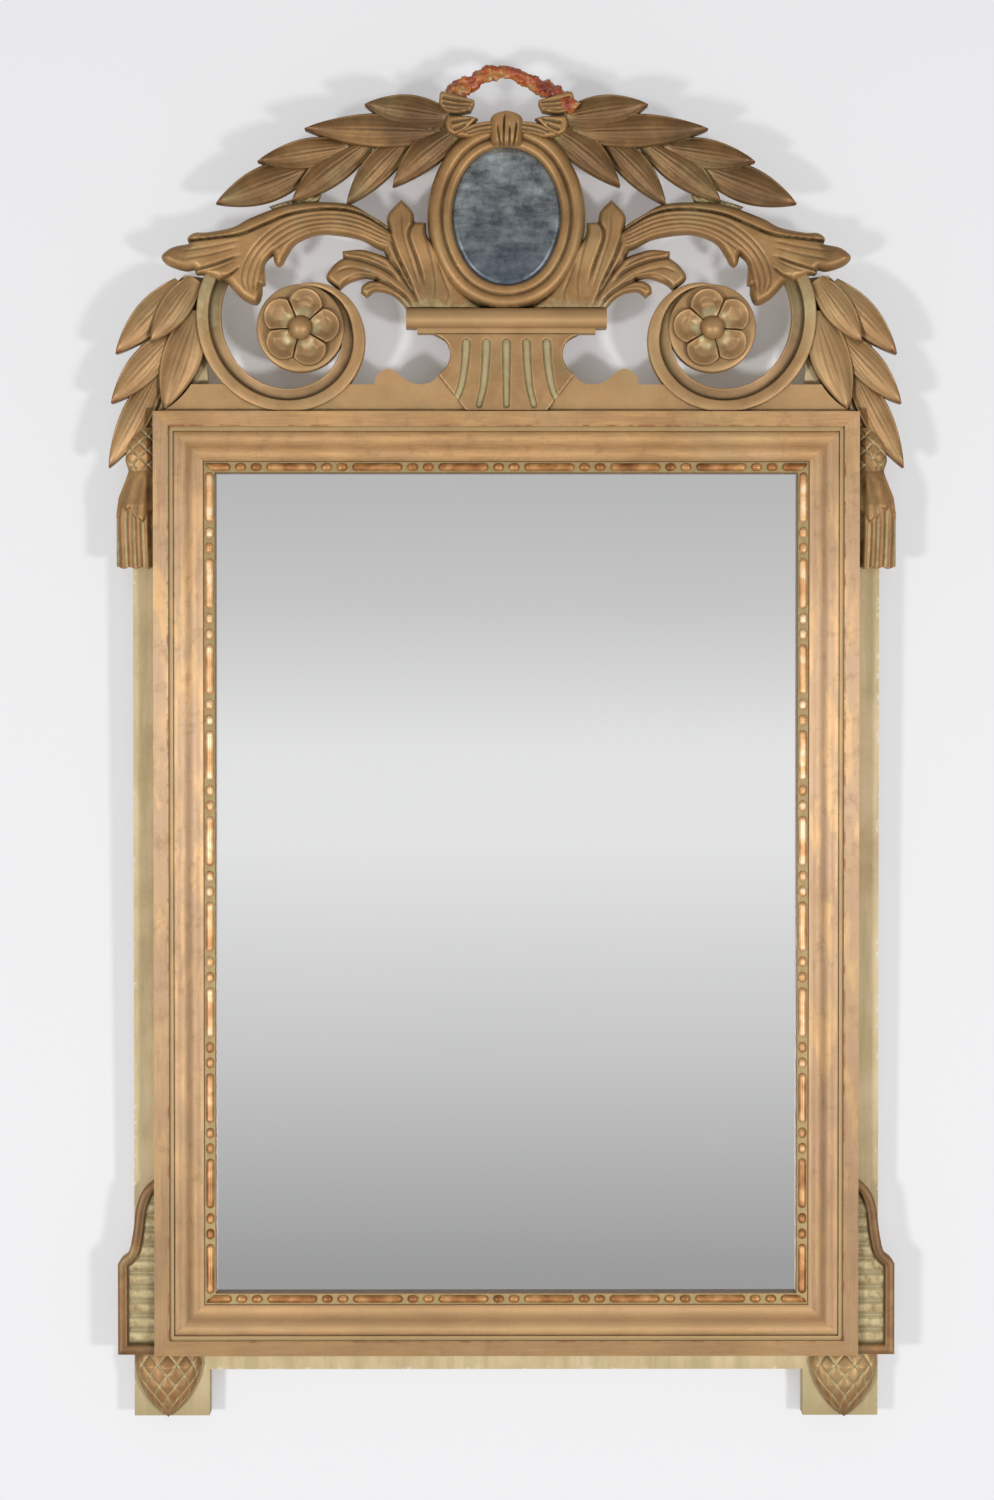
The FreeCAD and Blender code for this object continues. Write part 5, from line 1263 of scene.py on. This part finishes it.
def bracket_height(flat, edge):
    free = bracket_edge(flat)
    roll = np.sqrt(np.clip(1 - ((free - 4.6) / 5.2) ** 2, 0, 1))
    border = BRACKET_HEIGHT - BRACKET_ROLL * (1 - roll)
    ribs = BRACKET_HEIGHT - 3.4 - 1.6 * bracket_ribs(flat)
    panel = ease(free, 8.2, 10.2)
    return border * (1 - panel) + ribs * panel


def bracket_marks(flat, edge):
    free = bracket_edge(flat)
    ground = ease(free, 8.6, 10) * (0.5 + 0.5 * bracket_ribs(flat))
    return triples(0.3 * bell(free - 3, 3), ground, 0.5 * bell(free - 9.6, 0.9))


bracket = Carving()
relief(bracket, bracket_strokes, bracket_height, bracket_marks)
place_pair(bracket, "bracket", shaded_gilt)

# Pendants: pine cones with crossed lines of scales.
PENDANT_HALF = 31
PENDANT_CENTRE = HALF_BACK - PENDANT_HALF
PENDANT_DEPTH = 16
SCALES_DOWN = 3.1
SCALES_ACROSS = 2.75


def pendant_surface(carving):
    t = np.linspace(0, 1, 80)[:, None]
    s = np.linspace(-1, 1, 81)[None]
    half = PENDANT_HALF * np.clip(1 - t ** 2.0, 0.004, 1) ** 0.78 * (0.97 + 0.03 * ease(t, 0, 0.2))
    z = FRAME_BOTTOM + (FOOT_BOTTOM - FRAME_BOTTOM) * t
    swell = np.interp(t, [0, 0.2, 0.5, 0.8, 1], [0.8, 1, 0.95, 0.7, 0.3])
    bend = np.arcsin(s) / (math.pi / 2)
    body = PENDANT_DEPTH * swell * np.sqrt(1 - (0.97 * s) ** 2)
    first = (SCALES_DOWN * t + SCALES_ACROSS * bend) % 1
    second = (SCALES_DOWN * t - SCALES_ACROSS * bend) % 1
    away = np.minimum(np.minimum(first, 1 - first), np.minimum(second, 1 - second))
    lines = bell(away, 0.054)
    scale = np.sqrt(np.clip(first * (1 - first) * second * (1 - second) * 16, 0, 1))
    rise = 1.2 + body + 0.9 * scale * swell - 0.5 * lines
    marks = triples(0.45 * scale * ease(t, 0.1, 0.8), lines, 0)
    carving.sheet(triples(PENDANT_CENTRE + s * half, z, rise), marks, 0)


pendant = Carving()
pendant_surface(pendant)
place_pair(pendant, "pendant")

# Finishes of the pieces that keep their modelled shape.
NODE_SLOTS = {
    "bright_gilt": ["bead_strip_left", "bead_strip_right", "bead_strip_bottom", "bead_strip_top"],
    "painted_ground": ["back_stile_left", "back_stile_right", "back_rail_bottom", "back_rail_top",
                       "ear_left", "ear_right"],
    "bare_wood": ["backing_board", "glass_blocks", "tenon_pegs", "mitre_splines", "crest_spine",
                  "oval_backing"],
    "mirror_glass": ["mirror_glass"],
    "screw_steel": ["backing_screws", "spine_screws", "hanger_screws"],
    "hanger_brass": ["hanger_strap_left", "hanger_strap_right", "hanger_ring_left", "hanger_ring_right"],
}
NODE_FINISH = {
    "moulding_left": upright_gilt,
    "moulding_right": upright_gilt,
    "moulding_bottom": level_gilt,
    "moulding_top": level_gilt,
    "urn_rim": lit_gilt,
    "crest_rail_left": lit_gilt,
    "crest_rail_right": lit_gilt,
    "crest_end_left": lit_gilt,
    "crest_end_right": lit_gilt,
}
for slot_name, names in NODE_SLOTS.items():
    for name in names:
        NODE_FINISH[name] = SLOT_FINISH[slot_name]
for name, finish in NODE_FINISH.items():
    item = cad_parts[name]
    item.data.materials.clear()
    item.data.materials.append(finish)

# Stage: a pale wall that the mirror leans from and a pale floor below, both open from behind.
WALL_GAP = 2
WALL_LEAN = 0.018
STAGE_REACH = 3200
FLOOR_LEVEL = -550
STAGE_PALE = colour(239, 239, 241)
PALE_SHARE = 0.45
SHADE_REACH = 90
SHADE_OPEN = (0.22, 0.62)
SHADE_SAMPLES = 16


def stage_finish(name, shade):
    """Matt surface, clear from behind; in the open, a share of it is seen as plain white without shadow."""
    shader = Shader(name)
    shader.finish(shade, 0, 0.9)
    shader.surface.inputs["Specular IOR Level"].default_value = 0.1
    pale = shader.add("ShaderNodeEmission")
    pale.inputs["Color"].default_value = STAGE_PALE
    share = shader.span(shader.openness(SHADE_REACH, SHADE_SAMPLES), *SHADE_OPEN, 0, PALE_SHARE)
    front = shader.choose(shader.part(shader.seen(), share), shader.surface.outputs[0], pale.outputs[0])
    behind = shader.add("ShaderNodeNewGeometry").outputs["Backfacing"]
    clear = shader.add("ShaderNodeBsdfTransparent").outputs[0]
    shader.feed(shader.tree.nodes["Material Output"].inputs[0], shader.choose(behind, front, clear))
    return shader.material


def stage_sheet(name, corners, shade):
    mesh = bpy.data.meshes.new(name)
    mesh.from_pydata((np.array(corners) * MM).tolist(), [], [tuple(range(4))])
    mesh.materials.append(stage_finish(name, shade))
    item = bpy.data.objects.new(name, mesh)
    bpy.context.scene.collection.objects.link(item)
    item.visible_diffuse = False
    item.visible_shadow = False


def wall_point(x, z):
    """Point of the wall, which is close to the mirror's feet and leaves it by a small lean."""
    return (x, WALL_GAP + WALL_LEAN * (z - FOOT_BOTTOM), z)


stage_sheet("wall", [wall_point(-STAGE_REACH, FLOOR_LEVEL), wall_point(STAGE_REACH, FLOOR_LEVEL),
                     wall_point(STAGE_REACH, STAGE_REACH), wall_point(-STAGE_REACH, STAGE_REACH)],
            colour(232, 232, 234))
stage_sheet("floor", [(-STAGE_REACH, -STAGE_REACH, FLOOR_LEVEL), (STAGE_REACH, -STAGE_REACH, FLOOR_LEVEL),
                      (STAGE_REACH, STAGE_REACH, FLOOR_LEVEL), (-STAGE_REACH, STAGE_REACH, FLOOR_LEVEL)],
            colour(236, 236, 238))

# Light: two soft boxes in front, and a world that is plain for light and graded where it is seen. Lamps and
# camera are placed in metres; each grade is how far up a ray points and a level.
LAMP_SIZE = 0.35
LAMP_POWER = 44
LAMP_AIM = Vector((0, 0, 0.55))
AMBIENT = 0.4
STUDIO = [(-0.3, 0.32), (-0.165, 0.35), (-0.106, 0.595), (-0.045, 0.815), (-0.02, 0.81), (0.021, 0.595),
          (0.055, 0.505), (0.25, 0.5), (0.5, 0.6)]


def soft_box(name, place):
    lamp = bpy.data.lights.new(name, "AREA")
    lamp.shape = "SQUARE"
    lamp.size = LAMP_SIZE
    lamp.energy = LAMP_POWER
    item = bpy.data.objects.new(name, lamp)
    item.location = place
    item.rotation_mode = "QUATERNION"
    item.rotation_quaternion = (LAMP_AIM - Vector(place)).to_track_quat("-Z", "Y")
    bpy.context.scene.collection.objects.link(item)


soft_box("box_left", (-1.6, -2.8, -0.1))
soft_box("box_right", (1.6, -2.8, -0.1))
world = bpy.data.worlds.new("studio")
bpy.context.scene.world = world
world.use_nodes = True
sky = Nodes(world.node_tree)
plain = sky.tree.nodes["Background"]
plain.inputs[0].default_value = (1, 1, 1, 1)
plain.inputs[1].default_value = AMBIENT
split = sky.add("ShaderNodeSeparateXYZ")
sky.feed(split.inputs[0], sky.add("ShaderNodeTexCoord").outputs["Generated"])
lowest = STUDIO[0][0]
highest = STUDIO[-1][0]
grades = [((rise - lowest) / (highest - lowest), level) for rise, level in STUDIO]
graded = sky.add("ShaderNodeBackground")
sky.feed(graded.inputs[0], sky.ramp(sky.span(split.outputs[2], lowest, highest), grades))
studio = sky.choose(sky.seen(), plain.outputs[0], graded.outputs[0])
sky.feed(sky.tree.nodes["World Output"].inputs[0], studio)

# Camera: as the photograph was taken, a little above the middle and almost level.
camera = bpy.data.objects.new("camera", bpy.data.cameras.new("camera"))
camera.data.lens = 85
camera.location = (-0.0227, -3.2254, 0.5937)
camera.rotation_euler = (math.radians(90 - 1.145), 0, math.radians(-0.256))
bpy.context.scene.collection.objects.link(camera)
bpy.context.scene.camera = camera
bpy.context.scene.view_settings.view_transform = "Standard"
